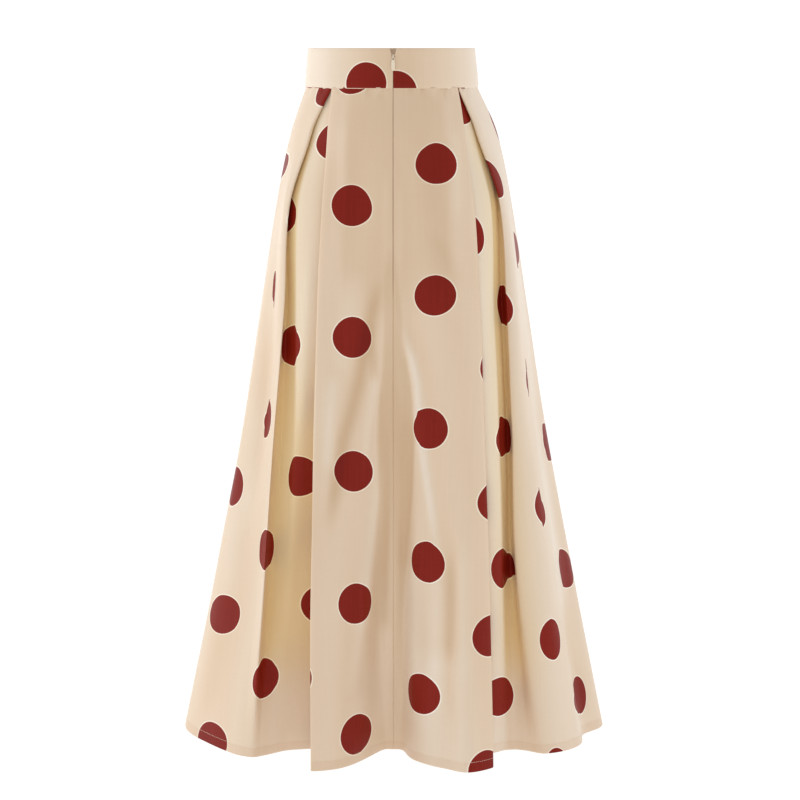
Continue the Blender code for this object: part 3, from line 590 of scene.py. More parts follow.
# Cloth that falls out of sight along a sharp crease, which lies at a share of the way between
# two folds: how much of the print is missing there
Tuck = namedtuple("Tuck", "first last shares lengths")
TUCKS_LEFT = [
    Tuck("outer crest", "outer flank", (1, 1, 1, 1, 1, 1, 1, 0.9, 0.85, 1, 1, 1, 1, 1),
         (0, 0, 0, 0, 0, 42, 58, 56, 29, 0, 0, 0, 0, 0)),
    Tuck("outer fold, face", "outer crest", (1.2,) * 14,
         (0, 0, 0, 0, 0, 0, 0, 0, 0, 5, 9, 3, 0, 0)),
]
TUCKS_RIGHT = [
    Tuck("centre seam", "inner fold, face",
         (0.1, 0.1, 0.1, 0.1, 0.1, 0.1, 0.12, 0.18, 0.29, 0.38, 0.43, 0.45, 0.45, 0.45),
         (0, 0, 0, 0, 0, 0, 0, 0, 7, 7, 2, 0, 0, 0)),
    Tuck("underlay edge", "edge flank", (0.8,) * 14,
         (0, 0, 0, 0, 0, 0, 0, 0, 5, 0, 0, 0, 0, 0)),
    Tuck("outer crest", "outer flank", (1, 1, 1, 1, 1, 1, 1, 1, 0.85, 0.55, 0.32, 0.12, 0, 0),
         (0, 0, 0, 0, 38, 50, 50, 50, 50, 44, 12, 6, 0, 0)),
    Tuck("side", "side seam",
         (0.5, 0.5, 0.5, 0.5, 0.5, 0.5, 0.5, 0.5, 0.5, 0.35, 0.15, 0.05, 0, 0),
         (0, 0, 0, 0, 0, 0, 0, 0, 16, 16, 14, 8, 0, 0)),
]
TUCK_HALF_WIDTH = 1.2           # of the strip of cloth in which the missing print is squeezed

# How the dots hang on half a panel: the lowest dot of the first column stands this far above
# the hem's edge, rows sag below the hem's line at these places, more so near the waist, and the
# first column's dots turn back straight, in mm up for each mm across. Outer dots may droop.
Hang = namedtuple("Hang", "row sag sag_at_waist tilt droop")
SAG_PLACES = (0, 57, 147, 237, 327, 417, 540)
SAG_AT_WAIST_FADES = (-205.0, -300.0)
TILT_HEIGHTS = (-931.0, -837.0, -713.0, -531.0, -353.0, -176.0)
TILT_SHAPE = ((0, 28, 86, 119.5), (0, 29, -29, 0))
DROOP_SHAPE = ((40, 60, 110, 240, 330), (0.4, 0.4, 0, 0, 1))
HANG_LEFT = Hang(40.7, (0, 1.5, 6.2, 15.7, 24.5, 37.2, 54.7), (4.5, 4.5, 4.5, 0, 13, 4.5, 4.5),
                 (0.05, 0.07, 0.11, 0.15, 0.10, 0.16), (0,) * 6)
HANG_RIGHT = Hang(98.5, (0, 2.3, 10, 19.5, 27.5, 37.5, 57), (4.5,) * 7,
                  (0.06, 0.065, 0.0, 0.04, 0.11, 0.17), (2.5, 5.0, 0.0, -4.0, 0.0, 0.0))


def at_print_heights(heights, values):
    """Values of a row of one of the print's tables, at other heights."""
    return np.interp(heights, PRINT_HEIGHTS[::-1], values[::-1])


def print_places(columns, heights, run, table, tucks):
    """Across place in the print of each point: cloth from the centre seam, mm."""
    knots = list(columns.values())
    at_folds = np.stack([at_print_heights(heights, table[name]) for name in columns], axis=1)
    places = np.stack([np.interp(row, row[knots], values) for row, values in zip(run, at_folds)])
    for tuck in tucks:
        first, last = run[:, columns[tuck.first]], run[:, columns[tuck.last]]
        at = (first + (last - first) * at_print_heights(heights, tuck.shares))[:, None]
        length = at_print_heights(heights, tuck.lengths)[:, None]
        places += length * ramp(run, at - TUCK_HALF_WIDTH, at + TUCK_HALF_WIDTH)
    return places


def print_map(places, above, heights, hang):
    """UV of the print: repeats from a dot's middle, across and up."""
    rows = (1 - ramp(-heights, *[-edge for edge in SAG_AT_WAIST_FADES]),
            np.interp(heights, TILT_HEIGHTS, hang.tilt),
            np.interp(heights, TILT_HEIGHTS, hang.droop))
    waist, turn, droop = (np.pad(row, (1, len(above) - len(heights) - 1), "edge")[:, None]
                          for row in rows)
    away = np.abs(places)
    sagging = (np.interp(away, SAG_PLACES, hang.sag)
               + waist * np.interp(away, SAG_PLACES, hang.sag_at_waist)
               + turn * np.interp(away, *TILT_SHAPE) + droop * np.interp(away, *DROOP_SHAPE))
    return np.stack([(places - PRINT_COLUMN) / REPEAT,
                     (above - hang.row + sagging) / REPEAT], axis=-1)


# ================================================================ light and shade in the cloth
# Where light reaches the cloth less, or more where the strength is below 0: zones from the
# centre seam to these distances at these heights, and broken lines across the panel
ShadeZone = namedtuple("ShadeZone", "heights widths strengths edge")
ShadeLine = namedtuple("ShadeLine", "path half_width strength")
CENTRE_SHADE_HEIGHTS = (-931, -886, -818, -736, -652, -571, -490, -436, -409, -354, -263, -230)
SHADES_LEFT = [
    ShadeZone(CENTRE_SHADE_HEIGHTS, (38, 42, 51, 39, 28, 20, 21, 19, 15, 12, 11, 8),
              (0.1, 0.1, 0.1, 0.25, 0.4, 0.68, 0.9, 0.85, 0.75, 0.6, 0.35, 0.0), 3.0),
    ShadeZone((-330, -260, -110, -40), (66, 70, 66, 60), (0.0, 0.36, 0.42, 0.35), 8.0),
    ShadeLine(((14, -262), (24, -303), (35, -354), (44, -409), (54, -450), (66, -490),
               (75, -544), (84, -584), (88, -625)), 10.0, 0.65),
    ShadeLine(((36, -330), (26, -385), (22, -420)), 7.0, 0.55),
    ShadeLine(((12, -740), (18, -832), (24, -910)), 12.0, -0.4),
    ShadeLine(((40, -740), (52, -800), (54, -860)), 12.0, 0.3),
    ShadeLine(((78, -400), (84, -480), (86, -540)), 8.0, -0.5),
]
SHADES_RIGHT = [
    ShadeZone(CENTRE_SHADE_HEIGHTS, (18, 17, 14, 13, 19, 26, 29, 26, 23, 14, 5, 3),
              (0.1, 0.15, 0.25, 0.35, 0.6, 0.8, 0.95, 0.9, 0.8, 0.65, 0.35, 0.0), 2.5),
    ShadeZone((-330, -260, -110, -40), (74, 78, 74, 66), (0.0, 0.40, 0.42, 0.35), 8.0),
    ShadeLine(((76, -640), (78, -720), (74, -800)), 7.0, 0.25),
    ShadeLine(((10, -346), (25, -382), (32, -416), (36, -460), (43, -520), (50, -571),
               (56, -640)), 8.0, -0.5),
    ShadeLine(((20, -640), (26, -760), (44, -880), (52, -970)), 16.0, -0.45),
    ShadeLine(((60, -760), (74, -860), (86, -931), (96, -1020)), 26.0, -0.6),
]
SHADE_OF_TROUGH = 0.2           # for each millimetre that a crease lies back
SHADE_TAPERS = (0.15, 0.2)      # shares of a line's length over which its ends fade
SHADES_STOP = 6.0               # they fade over this much cloth before the pleat
SHADE_RANGE = (-1.4, 1.0)
# How each fold's cloth takes the light from the side, at the waist and in the lower half
FOLD_SHADES_LEFT = {
    "inner fold, back": (-0.2, 0.0), "underlay": (-0.3, -0.1), "underlay edge": (-1.1, -0.2),
    "valley": (-0.25, -0.2), "outer turn, upper": (-0.2, -0.2), "outer fold, face": (-0.4, -0.4),
    "outer crest": (-0.35, -0.25), "outer flank": (-0.25, -0.15), "side": (-0.2, -0.1),
}
FOLD_SHADES_RIGHT = {
    "inner fold, back": (-0.4, -0.4), "underlay": (-1.1, -1.0), "underlay edge": (-1.0, -0.9),
    "valley": (0.45, -0.1), "outer turn, upper": (-0.2, -0.2), "outer fold, face": (-0.3, -0.2),
    "outer crest": (-0.9, -0.6), "outer flank": (-0.9, -0.6), "side": (-0.8, -0.6),
}
FOLD_SHADES_FRONT = {
    "inner fold, back": (-0.1, -0.1), "underlay": (-0.3, -0.2), "underlay edge": (-0.3, -0.2),
    "valley": (0.3, 0.1), "outer fold, face": (-0.2, -0.2), "outer crest": (-0.3, -0.3),
    "outer flank": (-0.3, -0.3), "side": (-0.3, -0.3),
}
FOLD_SHADE_HEIGHTS = (-560.0, -330.0)


def by_folds(table, heights, columns, run):
    """Values of a table of folds, each with one for the top and one for the lower half."""
    top = ramp(heights, *FOLD_SHADE_HEIGHTS)
    values = np.stack([lower + (upper - lower) * top for upper, lower in
                       (table.get(name, (0.0, 0.0)) for name in columns)], axis=1)
    knots = list(columns.values())
    return np.stack([np.interp(row, row[knots], row_values)
                     for row, row_values in zip(run, values)])


def shade_shares(shades, fold_shades, lines, heights, columns, run, stand):
    """How much each point's colour is darkened, up to 1, or lit where it is below 0."""
    across = lines[..., 0]
    grid_heights = np.broadcast_to(heights[:, None], across.shape)
    shaded = by_folds(fold_shades, heights, columns, run) - SHADE_OF_TROUGH * stand
    pleat = run[:, [columns["inner fold, face"]]]
    on_panel = 1 - ramp(run, pleat - SHADES_STOP, pleat)
    for shade in shades:
        if isinstance(shade, ShadeZone):
            width = np.interp(heights, shade.heights, shade.widths)[:, None]
            share = 1 - ramp(across, width - shade.edge, width + shade.edge)
            share = share * np.interp(heights, shade.heights, shade.strengths)[:, None]
        else:
            away, along = distance_to_path(across, grid_heights, shade.path)
            share = np.exp(-(away / shade.half_width) ** 2) * shade.strength
            share = share * ramp(along, 0.0, SHADE_TAPERS[0])
            share = share * (1 - ramp(along, 1.0 - SHADE_TAPERS[1], 1.0))
        shaded = shaded + share * on_panel
    return np.clip(shaded, *SHADE_RANGE)


# How far a fold is closed in by the cloth round it, which turns its light golden, at the waist
# and in the lower half. That light is painted into the colour as a gold tint: painted bounce light.
PAINTED_BOUNCE_RIGHT = {
    "inner fold, back": (0.4, 0.4), "inner return": (1.0, 1.0), "inner turn, upper": (1.0, 1.0),
    "inner turn, lower": (1.0, 1.0), "underlay": (0.05, 0.05), "underlay edge": (0.5, 0.4),
    "edge flank": (1.0, 1.0), "valley": (1.0, 0.85), "outer turn, lower": (1.0, 1.0),
    "outer turn, upper": (0.9, 0.9), "outer fold, back": (0.6, 0.5),
    "outer fold, face": (0.0, 0.4),
}
PAINTED_BOUNCE_LEFT = dict(PAINTED_BOUNCE_RIGHT)
PAINTED_BOUNCE_LEFT.update({"underlay": (0.06, 0.62), "underlay edge": (0.3, 0.75),
                    "inner fold, back": (0.4, 0.7), "outer fold, face": (0.0, 0.0)})
PAINTED_BOUNCE_FADES = (60.0, 170.0)    # it thins out between these heights above the hem


# ================================================================ meshes
def add_object(name, data):
    """An object in the scene for a mesh, a light or the camera."""
    made = bpy.data.objects.new(name, data)
    bpy.context.scene.collection.objects.link(made)
    return made


def new_mesh(name, vertices, faces, materials, smooth=True):
    """A piece from points in mm and faces, an array or lists of the points' numbers."""
    mesh = bpy.data.meshes.new(name)
    if isinstance(faces, np.ndarray):
        faces = faces.tolist()
    mesh.from_pydata((np.asarray(vertices) * MM).tolist(), [], faces)
    for material in materials:
        mesh.materials.append(material)
    if smooth:
        mesh.shade_smooth()
    return add_object(name, mesh)


def add_print(mesh, corner_uv, shares):
    """The print's UV map, and the values of each point that the taffeta's look reads."""
    layer = mesh.uv_layers.new(name="print")
    layer.data.foreach_set("uv", corner_uv.astype(np.float32).ravel())
    for label, values in shares.items():
        attribute = mesh.attributes.new(label, "FLOAT", "POINT")
        attribute.data.foreach_set("value", values.astype(np.float32).ravel())


def soften_edges(piece, width):
    """Round the sharp edges of a piece."""
    bevel = piece.modifiers.new("soft edges", "BEVEL")
    bevel.width = width * MM
    bevel.segments = 3


def grid_faces(rows, columns, first=0, flip=False):
    """Quads of a grid of points that is numbered row by row."""
    r, c = np.meshgrid(np.arange(rows - 1), np.arange(columns - 1), indexing="ij")
    corner = (first + r * columns + c).ravel()
    quads = np.stack([corner, corner + 1, corner + columns + 1, corner + columns], axis=1)
    return quads[:, ::-1] if flip else quads


def grid_normals(points):
    """Unit normals of a grid of points, on its outer side."""
    return unit(np.cross(np.gradient(points, axis=1), np.gradient(points, axis=0)))


def shell(name, points, print_uv, shares, materials):
    """Closed thin shell round a grid of middle points, with the print's places as its UV map.

    Faces of the right side take the first material, those of the reverse and edges the second.
    """
    rows, columns = points.shape[:2]
    normals = grid_normals(points)
    outer = (points + normals * 0.5 * CLOTH).reshape(-1, 3)
    inner = (points - normals * 0.5 * CLOTH).reshape(-1, 3)
    count = rows * columns
    rim = np.concatenate([
        np.arange(columns), columns - 1 + columns * np.arange(1, rows),
        count - 2 - np.arange(columns - 1), columns * np.arange(rows - 2, 0, -1)])
    following = np.roll(rim, -1)
    edges = np.stack([following, rim, rim + count, following + count], axis=1)
    right_side = grid_faces(rows, columns)
    faces = np.concatenate([right_side, grid_faces(rows, columns, count, True), edges])
    piece = new_mesh(name, np.concatenate([outer, inner]), faces, materials)
    reverse = np.ones(len(faces), np.int32)
    reverse[:len(right_side)] = 0
    piece.data.polygons.foreach_set("material_index", reverse)
    add_print(piece.data, np.tile(print_uv.reshape(-1, 2), (2, 1))[faces.ravel()],
              {label: np.tile(values.ravel(), 2) for label, values in shares.items()})
    return piece


CAPSULE_RINGS, CAPSULE_SIDES = 5, 6
CAPSULE_TIP = 0.06              # least share of its width, squared, at a thread's ends


def capsules(name, centres, along, across, length, radius, material):
    """Many short rounded threads as one mesh: centre, direction and sideways direction of each."""
    rings, sides = CAPSULE_RINGS, CAPSULE_SIDES
    third = np.cross(along, across)
    shares = np.linspace(-1.0, 1.0, rings)
    profile = np.sqrt(np.clip(1 - shares**4, CAPSULE_TIP, 1.0))
    angles = 2 * math.pi * np.arange(sides) / sides
    points = (centres[:, None, None] + along[:, None, None] * (0.5 * length * shares)[:, None, None]
              + radius * profile[:, None, None]
              * (across[:, None, None] * np.cos(angles)[:, None]
                 + third[:, None, None] * np.sin(angles)[:, None]))
    ring, side = np.meshgrid(np.arange(rings - 1), np.arange(sides), indexing="ij")
    follow = (side + 1) % sides
    quads = np.stack([ring * sides + side, ring * sides + follow, (ring + 1) * sides + follow,
                      (ring + 1) * sides + side], axis=-1).reshape(-1, 4)
    first = (np.arange(len(centres)) * rings * sides)[:, None]
    faces = (quads[None] + first[..., None]).reshape(-1, 4)
    start = np.arange(sides)[::-1]
    end = np.arange(sides) + (rings - 1) * sides
    caps = np.concatenate([start[None] + first, end[None] + first])
    return new_mesh(name, points.reshape(-1, 3), faces.tolist() + caps.tolist(), [material])


# ================================================================ cloth panels
BACK_SPACING, FRONT_SPACING = 5.0, 6.0    # height between sections
BACK_REFINE, FRONT_REFINE = 4, 3          # columns for each of the folds' pieces of cloth
FINE_DEPTH, FINE_SPACING = 40.0, 2.0      # sections lie closer in this depth below the waist seam
HEM_ZONE = 20.0                           # the hem's own rows lie less than this above its edge
ROLL_ANGLES = (0, 22.5, 45, 67.5, 90)
SEEDS_BACK = {"left": 12, "right": 10}
SEEDS_FRONT = {"left": 32, "right": 30}
STITCH_SUNK = 0.7               # share of its radius by which a stitch sinks into the cloth

# All that sets one back panel apart
Back = namedtuple("Back", "side folds creases shades fold_shades closed places tucks hang")
BACKS = [
    Back("left", BACK_LEFT, CREASES_BACK_LEFT, SHADES_LEFT, FOLD_SHADES_LEFT, PAINTED_BOUNCE_LEFT,
         PLACES_LEFT, TUCKS_LEFT, HANG_LEFT),
    Back("right", BACK_RIGHT, CREASES_BACK_RIGHT, SHADES_RIGHT, FOLD_SHADES_RIGHT, PAINTED_BOUNCE_RIGHT,
         PLACES_RIGHT, TUCKS_RIGHT, HANG_RIGHT),
]


def section_heights(spacing):
    """Heights of the sections: close below the waist seam and at the hem, wider between."""
    top, bottom = HEIGHTS[0], HEIGHTS[-1]
    fine = np.arange(top, top - FINE_DEPTH, -FINE_SPACING)
    count = int((top - bottom - FINE_DEPTH - HEM_ZONE) / spacing)
    middle = np.linspace(top - FINE_DEPTH, bottom + HEM_ZONE, count)
    return np.concatenate([fine, middle, bottom + np.array(HEM_ROWS)])


def half_cloth(folds, side, face, creases, heights, refine, seed):
    """Middle points of half a panel with its creases, and what its print needs."""
    rng = np.random.default_rng(seed)
    lines, columns = half_sections(folds, side, face, heights, refine)
    run = run_length(lines)
    stand = crease_stand(creases, lines, heights, columns, run)
    stand += pucker_stand(lines, heights, columns, run, rng)
    stand += uneven_stand(heights, run, rng)
    stand *= ramp(run[:, [-1]] - run, 0.0, SEAM_FLAT) * ramp(run, 0.0, SEAM_FLAT)
    return lines + line_normals(lines) * stand[..., None], run, columns, stand


def with_roll(half_gap, at_side, lines, places, *shares):
    """Grids of half a panel with more columns, which turn its edge in at a seam.

    At the side seam that edge is the last column, and the shares are 0 in the turned cloth. At
    the centre it is the first one, and the shares go on unchanged.
    """
    sign, kept = (-1, 0.0) if at_side else (1, 1.0)
    lines, places, *shares = (grid[:, ::sign] for grid in (lines, places, *shares))
    start = lines[:, 0]
    inward = unit(lines[:, 1] - start)
    outward = sign * np.stack([-inward[:, 1], inward[:, 0]], axis=-1)
    half_gap = np.broadcast_to(half_gap, len(start))[:, None]
    turns = [(0.0, -SEAM_ROLL - SEAM_WALL)]
    for degrees in ROLL_ANGLES:
        angle = math.radians(degrees)
        turns.append((SEAM_ROLL * (1 - math.cos(angle)), -SEAM_ROLL * (1 - math.sin(angle))))
    roll = np.stack([start + inward * (half_gap + along) + outward * out for along, out in turns],
                    axis=1)
    turned_in = sign * np.linspace(SEAM_ROLL + SEAM_WALL, 0.0, len(turns))[None]
    edges = [roll, places[:, :1] - turned_in]
    edges += [np.repeat(grid[:, :1] * kept, len(turns), axis=1) for grid in shares]
    return [np.concatenate([edge, grid[:, 1:]], axis=1)[:, ::sign]
            for edge, grid in zip(edges, (lines, places, *shares))]


def with_hem(points, *grids):
    """The panel's rows, one more that is sewn into the band, and those turned in at the hem.

    Gives the points, their heights above the hem's edge, which are negative on the turned part,
    and the other grids with their first and last rows repeated there.
    """
    points = np.concatenate([points[:1] + (0.0, 0.0, WAIST_ALLOWANCE), points])
    grids = [np.concatenate([grid[:1], grid]) for grid in grids]
    normals = grid_normals(points)
    down = unit(points[-1] - points[-2])
    turned = []
    for degrees in TURN_ANGLES:
        angle = math.radians(degrees)
        turned.append(points[-1] + down * HEM_ROLL * math.sin(angle)
                      - normals[-1] * HEM_ROLL * (1 - math.cos(angle)))
    for row in range(2, len(HEM_ROWS) + 1):
        turned.append(points[-row] - normals[-row] * 2 * HEM_ROLL)
    steps = np.linalg.norm(np.diff(points, axis=0), axis=2)
    above = np.concatenate([np.cumsum(steps[::-1], axis=0)[::-1], np.zeros((1, steps.shape[1])),
                            np.repeat(-np.array(TURNED_RUNS)[:, None], steps.shape[1], axis=1)])
    grids = [np.concatenate([grid, np.repeat(grid[-1:], len(turned), axis=0)]) for grid in grids]
    return np.concatenate([points, np.array(turned)]), above, *grids


def raised(x, y, heights):
    """Points of the sections in space."""
    return np.stack([x, y, lifted(heights[:, None], y)], axis=-1)


def hemmed_panel(name, points, grids, heights, hang, materials):
    """A panel's piece, its grid of points and their heights above the hem's edge."""
    points, above, places, closed, shaded = with_hem(points, *grids)
    piece = shell(name, points, print_map(places, above, heights, hang),
                  {"from_hem": above, "closed": closed, "shaded": shaded}, materials)
    return piece, points, above


def back_panel(name, back, materials):
    """Half of the skirt's back, from the centre seam to the side seam."""
    heights = section_heights(BACK_SPACING)
    lines, run, columns, stand = half_cloth(back.folds, back.side, "back", back.creases, heights,
                                            BACK_REFINE, SEEDS_BACK[back.side])
    grids = [print_places(columns, heights, run, back.places, back.tucks),
             by_folds(back.closed, heights, columns, run),
             shade_shares(back.shades, back.fold_shades, lines, heights, columns, run, stand)]
    half_gaps = np.interp(heights, SLIT_HEIGHTS, SLIT_HALF_WIDTHS)
    lines, *grids = with_roll(half_gaps, False, *with_roll(0.5 * SEAM_GAP, True, lines, *grids))
    x, y = lines[..., 0], lines[..., 1]
    if back.side == "right":
        x, y, grids = -x[:, ::-1], y[:, ::-1], [grid[:, ::-1] for grid in grids]
    return hemmed_panel(name, raised(x, y, heights), grids, heights, back.hang, materials)


def front_panel(name, materials):
    """The skirt's front in one piece, made from the same half for both sides."""
    heights = section_heights(FRONT_SPACING)
    halves = []
    for side, sign in (("left", 1), ("right", -1)):
        lines, run, columns, stand = half_cloth(FRONT, side, "front", CREASES_FRONT, heights,
                                                FRONT_REFINE, SEEDS_FRONT[side])
        lines, places, *shares = with_roll(
            0.5 * SEAM_GAP, True, lines, run, by_folds(PAINTED_BOUNCE_RIGHT, heights, columns, run),
            shade_shares((), FOLD_SHADES_FRONT, lines, heights, columns, run, stand))
        points = raised(sign * lines[..., 0], -lines[..., 1], heights)
        halves.append((points, sign * places, *shares))
    points, *grids = (np.concatenate([left[:, ::-1], right[:, 1:]], axis=1)
                      for left, right in zip(*halves))
    return hemmed_panel(name, points, grids, heights, HANG_LEFT, materials)


def between_points(at, run, values):
    """Vectors at distances along a line of points, from those at its points."""
    return np.stack([np.interp(at, run, values[:, k]) for k in range(3)], axis=-1)


def hem_stitches(name, points, above, material):
    """Machine stitches on the right side of the hem, one after another along it."""
    row = int(np.argmin(np.abs(above[:, above.shape[1] // 2] - HEM_STITCH_UP)))
    normals = grid_normals(points)[row]
    line = points[row] + normals * (0.5 * CLOTH + (1 - STITCH_SUNK) * STITCH_RADIUS)
    run = run_length(line[None])[0]
    at = np.arange(STITCH_PITCH, run[-1] - STITCH_PITCH, STITCH_PITCH)
    centres = between_points(at, run, line)
    along = unit(between_points(at + 1, run, line) - centres)
    out = unit(between_points(at, run, normals))
    out = unit(out - along * np.sum(out * along, axis=1, keepdims=True))
    return capsules(name, centres, along, out, STITCH_LENGTH, STITCH_RADIUS, material)


# ================================================================ waistband
BAND_COLUMNS = 260
BAND_COLUMNS_START = 4.0        # cloth from each end to the first of them
BAND_END_STEPS = (0.0, 0.15, 0.4, 0.75, 1.2, 2.4)   # and to the closer columns before it
BAND_END_LEAST = 0.02           # least share of the band's thickness, squared, at its ends
BAND_RING_POINTS = 721          # where the distance round it is measured
BAND_ROUNDING = 7               # points round its top and its bottom edge
BAND_FACE_ROWS = 14
BAND_TUCK, BAND_TUCK_HIGH = 0.8, 3.0    # the outer face draws in at the waist seam
BAND_SHADE_PLACES = (-115, -96, -70, -20, 20, 60, 96, 112)    # across, and how shaded there
BAND_SHADES = (-1.0, -0.7, -0.2, 0.35, 0.3, -0.3, -0.9, -1.2)
BAND_DOTS_LEFT = (36.0, 5.4)    # a dot's middle: from the band's end, and above its lower edge
BAND_DOTS_RIGHT = (3.6, -5.7)
BAND_FROM_HEM = 100.0           # any height above the doubled cloth of the hem
# Shallow dents in the band: from its left end along it, height, half widths and depth
BandDent = namedtuple("BandDent", "along height half_along half_high stand")
BAND_DENTS = [BandDent(*row) for row in (
    (60, 8, 16, 22, -0.5), (92, -8, 9, 26, 0.45), (128, 4, 22, 20, -0.6), (168, -4, 18, 30, 0.4),
    (236, 6, 24, 24, -0.5), (330, -2, 30, 26, 0.4), (424, 4, 22, 24, -0.5),
    (500, -4, 20, 28, 0.45), (556, 4, 14, 24, -0.55), (596, -6, 10, 22, 0.4),
    (628, 6, 12, 18, -0.4))]
DENTS_START = 10.0              # they grow over this much of the band from its ends


def band_ring():
    """Angles round the band's middle height, and the distance along it to each of them."""
    level = BAND_LEVELS[1]
    angles = np.linspace(0, 2 * math.pi, BAND_RING_POINTS)
    width = np.where(angles < math.pi, level.left, level.right)
    ring = np.stack([width * np.sin(angles), level.back * np.cos(angles)], axis=-1)
    return angles, run_length(ring[None])[0]


def band_profile():
    """Points round the band's section, out from its middle and up, and the distance to each."""
    half = 0.5 * BAND_THICKNESS
    low, high = BAND_BOTTOM + half, BAND_TOP - half
    face = np.linspace(low, high, BAND_FACE_ROWS)
    turn = np.linspace(0, math.pi, BAND_ROUNDING)[1:-1]
    profile = [(half, h) for h in face]
    profile += [(half * math.cos(a), high + half * math.sin(a)) for a in turn]
    profile += [(-half, h) for h in face[::-1]]
    profile += [(-half * math.cos(a), low - half * math.sin(a)) for a in turn]
    return np.array(profile), run_length(np.array(profile + profile[:1])[None])[0]


def waistband(name, material):
    """Folded band: up its outer face, over the top, down inside and round its lower edge."""
    ring_angles, ring_run = band_ring()
    girth, half = ring_run[-1], 0.5 * BAND_THICKNESS
    ends = np.array(BAND_END_STEPS)
    regular = np.linspace(BAND_COLUMNS_START, girth - BAND_COLUMNS_START, BAND_COLUMNS)
    along = np.concatenate([ends, regular, (girth - ends)[::-1]])
    profile, distance = band_profile()
    heights = profile[:, 1]
    left, right, back, front, half_gap = (
        smooth_between(heights, [level.height for level in BAND_LEVELS],
                       [getattr(level, key) for level in BAND_LEVELS])[:, None]
        for key in BandLevel._fields[1:])
    first = np.arcsin(half_gap / left)
    last = 2 * math.pi - np.arcsin(half_gap / right)
    share = np.interp(along, ring_run, ring_angles) / (2 * math.pi)
    angle = first + (last - first) * share[None]
    width = np.where(angle <= math.pi, left, right)
    depth = np.where(np.cos(angle) >= 0, back, front)
    from_end = np.minimum(along, girth - along)
    rounding = 1 - (1 - np.minimum(from_end / half, 1.0)) ** 2
    stand = profile[:, :1] * np.sqrt(np.clip(rounding, BAND_END_LEAST, 1.0))[None]
    for dent in BAND_DENTS:
        across = np.exp(-((along - dent.along) / dent.half_along) ** 2)
        up = np.exp(-((heights - dent.height) / dent.half_high) ** 2)
        stand = stand + dent.stand * across * up[:, None] * ramp(from_end, 0, DENTS_START)[None]
    tuck = BAND_TUCK * np.exp(-((heights - BAND_BOTTOM) / BAND_TUCK_HIGH) ** 2)
    stand = stand - (tuck * (profile[:, 0] > 0))[:, None]
    flat = on_outline(angle, stand, width, depth)
    z = heights[:, None] + WAIST_RISE * (1 - flat[..., 1] / OUTLINES[0].back)
    points = np.concatenate([flat, z[..., None]], axis=-1)
    rows, columns = points.shape[:2]

    faces = grid_faces(rows + 1, columns)
    caps = [list(range(0, rows * columns, columns)),
            list(range(columns - 1, rows * columns, columns))[::-1]]
    piece = new_mesh(name, points.reshape(-1, 3),
                     (faces % (rows * columns))[:, ::-1].tolist() + caps, [material])
    uv_left, uv_right = (
        np.stack(np.broadcast_arrays(ran[None] - dot[0], distance[:, None] - half - dot[1]),
                 axis=-1).reshape(-1, 2)[faces]
        for ran, dot in ((along, BAND_DOTS_LEFT), (girth - along, BAND_DOTS_RIGHT)))
    in_left = (along[faces[:, 0] % columns] < 0.5 * girth)[:, None, None]
    uv = np.where(in_left, uv_left, uv_right)[:, ::-1].reshape(-1, 2) / REPEAT
    plain = np.full((2 * rows, 2), 0.25)
    add_print(piece.data, np.concatenate([uv, plain]),
              {"from_hem": np.full((rows, columns), BAND_FROM_HEM),
               "closed": np.zeros((rows, columns)),
               "shaded": np.interp(points[..., 0], BAND_SHADE_PLACES, BAND_SHADES)})
    return piece


# ================================================================ zip
COIL_PITCH = 0.78
COIL_LENGTH = 3.0
COIL_RADIUS = 0.33
COIL_STAGGER = 0.45             # every other turn lies this far to the left, the rest to the right
COIL_BEHIND = 0.1               # the tapes' middle
COIL_STOPS = 4.0                # below the hinge line
SLIDER_BODY = (6.4, 2.6, 9.5)   # width, depth and height
SLIDER_BEHIND = 0.85            # from the tapes' middle to the slider's face
SLIDER_BELOW = 1.0              # from the hinge line to the slider's middle
SLIDER_PLATE = 0.8              # thickness of its two plates
SLIDER_TAPER = 0.72             # their width at the bottom, as a share of that at the top
SLIDER_CORE = (1.6, 1.6, 3.0)   # what joins them, in their upper part
CORE_ABOVE = 2.0                # the slider's middle
SLIDER_NECK = (1.1, 1.9)        # width and height of the neck that carries the arch
ARCH_HALF_WIDTH = 0.62
ARCH_CORNER = 0.7               # as TAB_CORNER
ARCH_RING, ARCH_SIDES = 40, 10
TAB_POINTS = 48
TAB_BEVEL, SLIDER_BEVEL = 0.22, 0.3


def band_depth(heights):
    """Depth of the band's middle at the centre back."""
    return np.interp(heights, [level.height for level in BAND_LEVELS],
                     [level.back for level in BAND_LEVELS])


def zip_depths(heights):
    """Depth of the middle of the zip's tapes at the centre back."""
    below = np.minimum(heights, HEIGHTS[0])
    cloth = half_sections(BACK_LEFT, "left", "back", below, 1)[0][:, 0, 1]
    middle = np.where(heights >= BAND_BOTTOM, band_depth(heights), cloth)
    setback = np.interp(heights, (BAND_BOTTOM - BAND_STEP_FADES, BAND_BOTTOM),
                        (TAPE_SETBACK_CLOTH, TAPE_SETBACK_BAND))
    return middle - setback


def zip_coil(name, material):
    """The coil's turns, seen through the slit as short threads across it."""
    heights = np.arange(ZIP_END, PIVOT_HEIGHT - COIL_STOPS, COIL_PITCH)
    depths = zip_depths(heights)
    side = np.where(np.arange(len(heights)) % 2 == 0, COIL_STAGGER, -COIL_STAGGER)
    centres = np.stack([side, depths - COIL_BEHIND, lifted(heights, depths)], axis=-1)
    across, outward = (np.repeat([axis], len(heights), axis=0)
                       for axis in ((1.0, 0.0, 0.0), (0.0, 1.0, 0.0)))
    return capsules(name, centres, across, outward, COIL_LENGTH, COIL_RADIUS, material)


def squared(value, power):
    """A power of a number that keeps its sign, for ovals with squarer corners."""
    return math.copysign(abs(value) ** power, value)


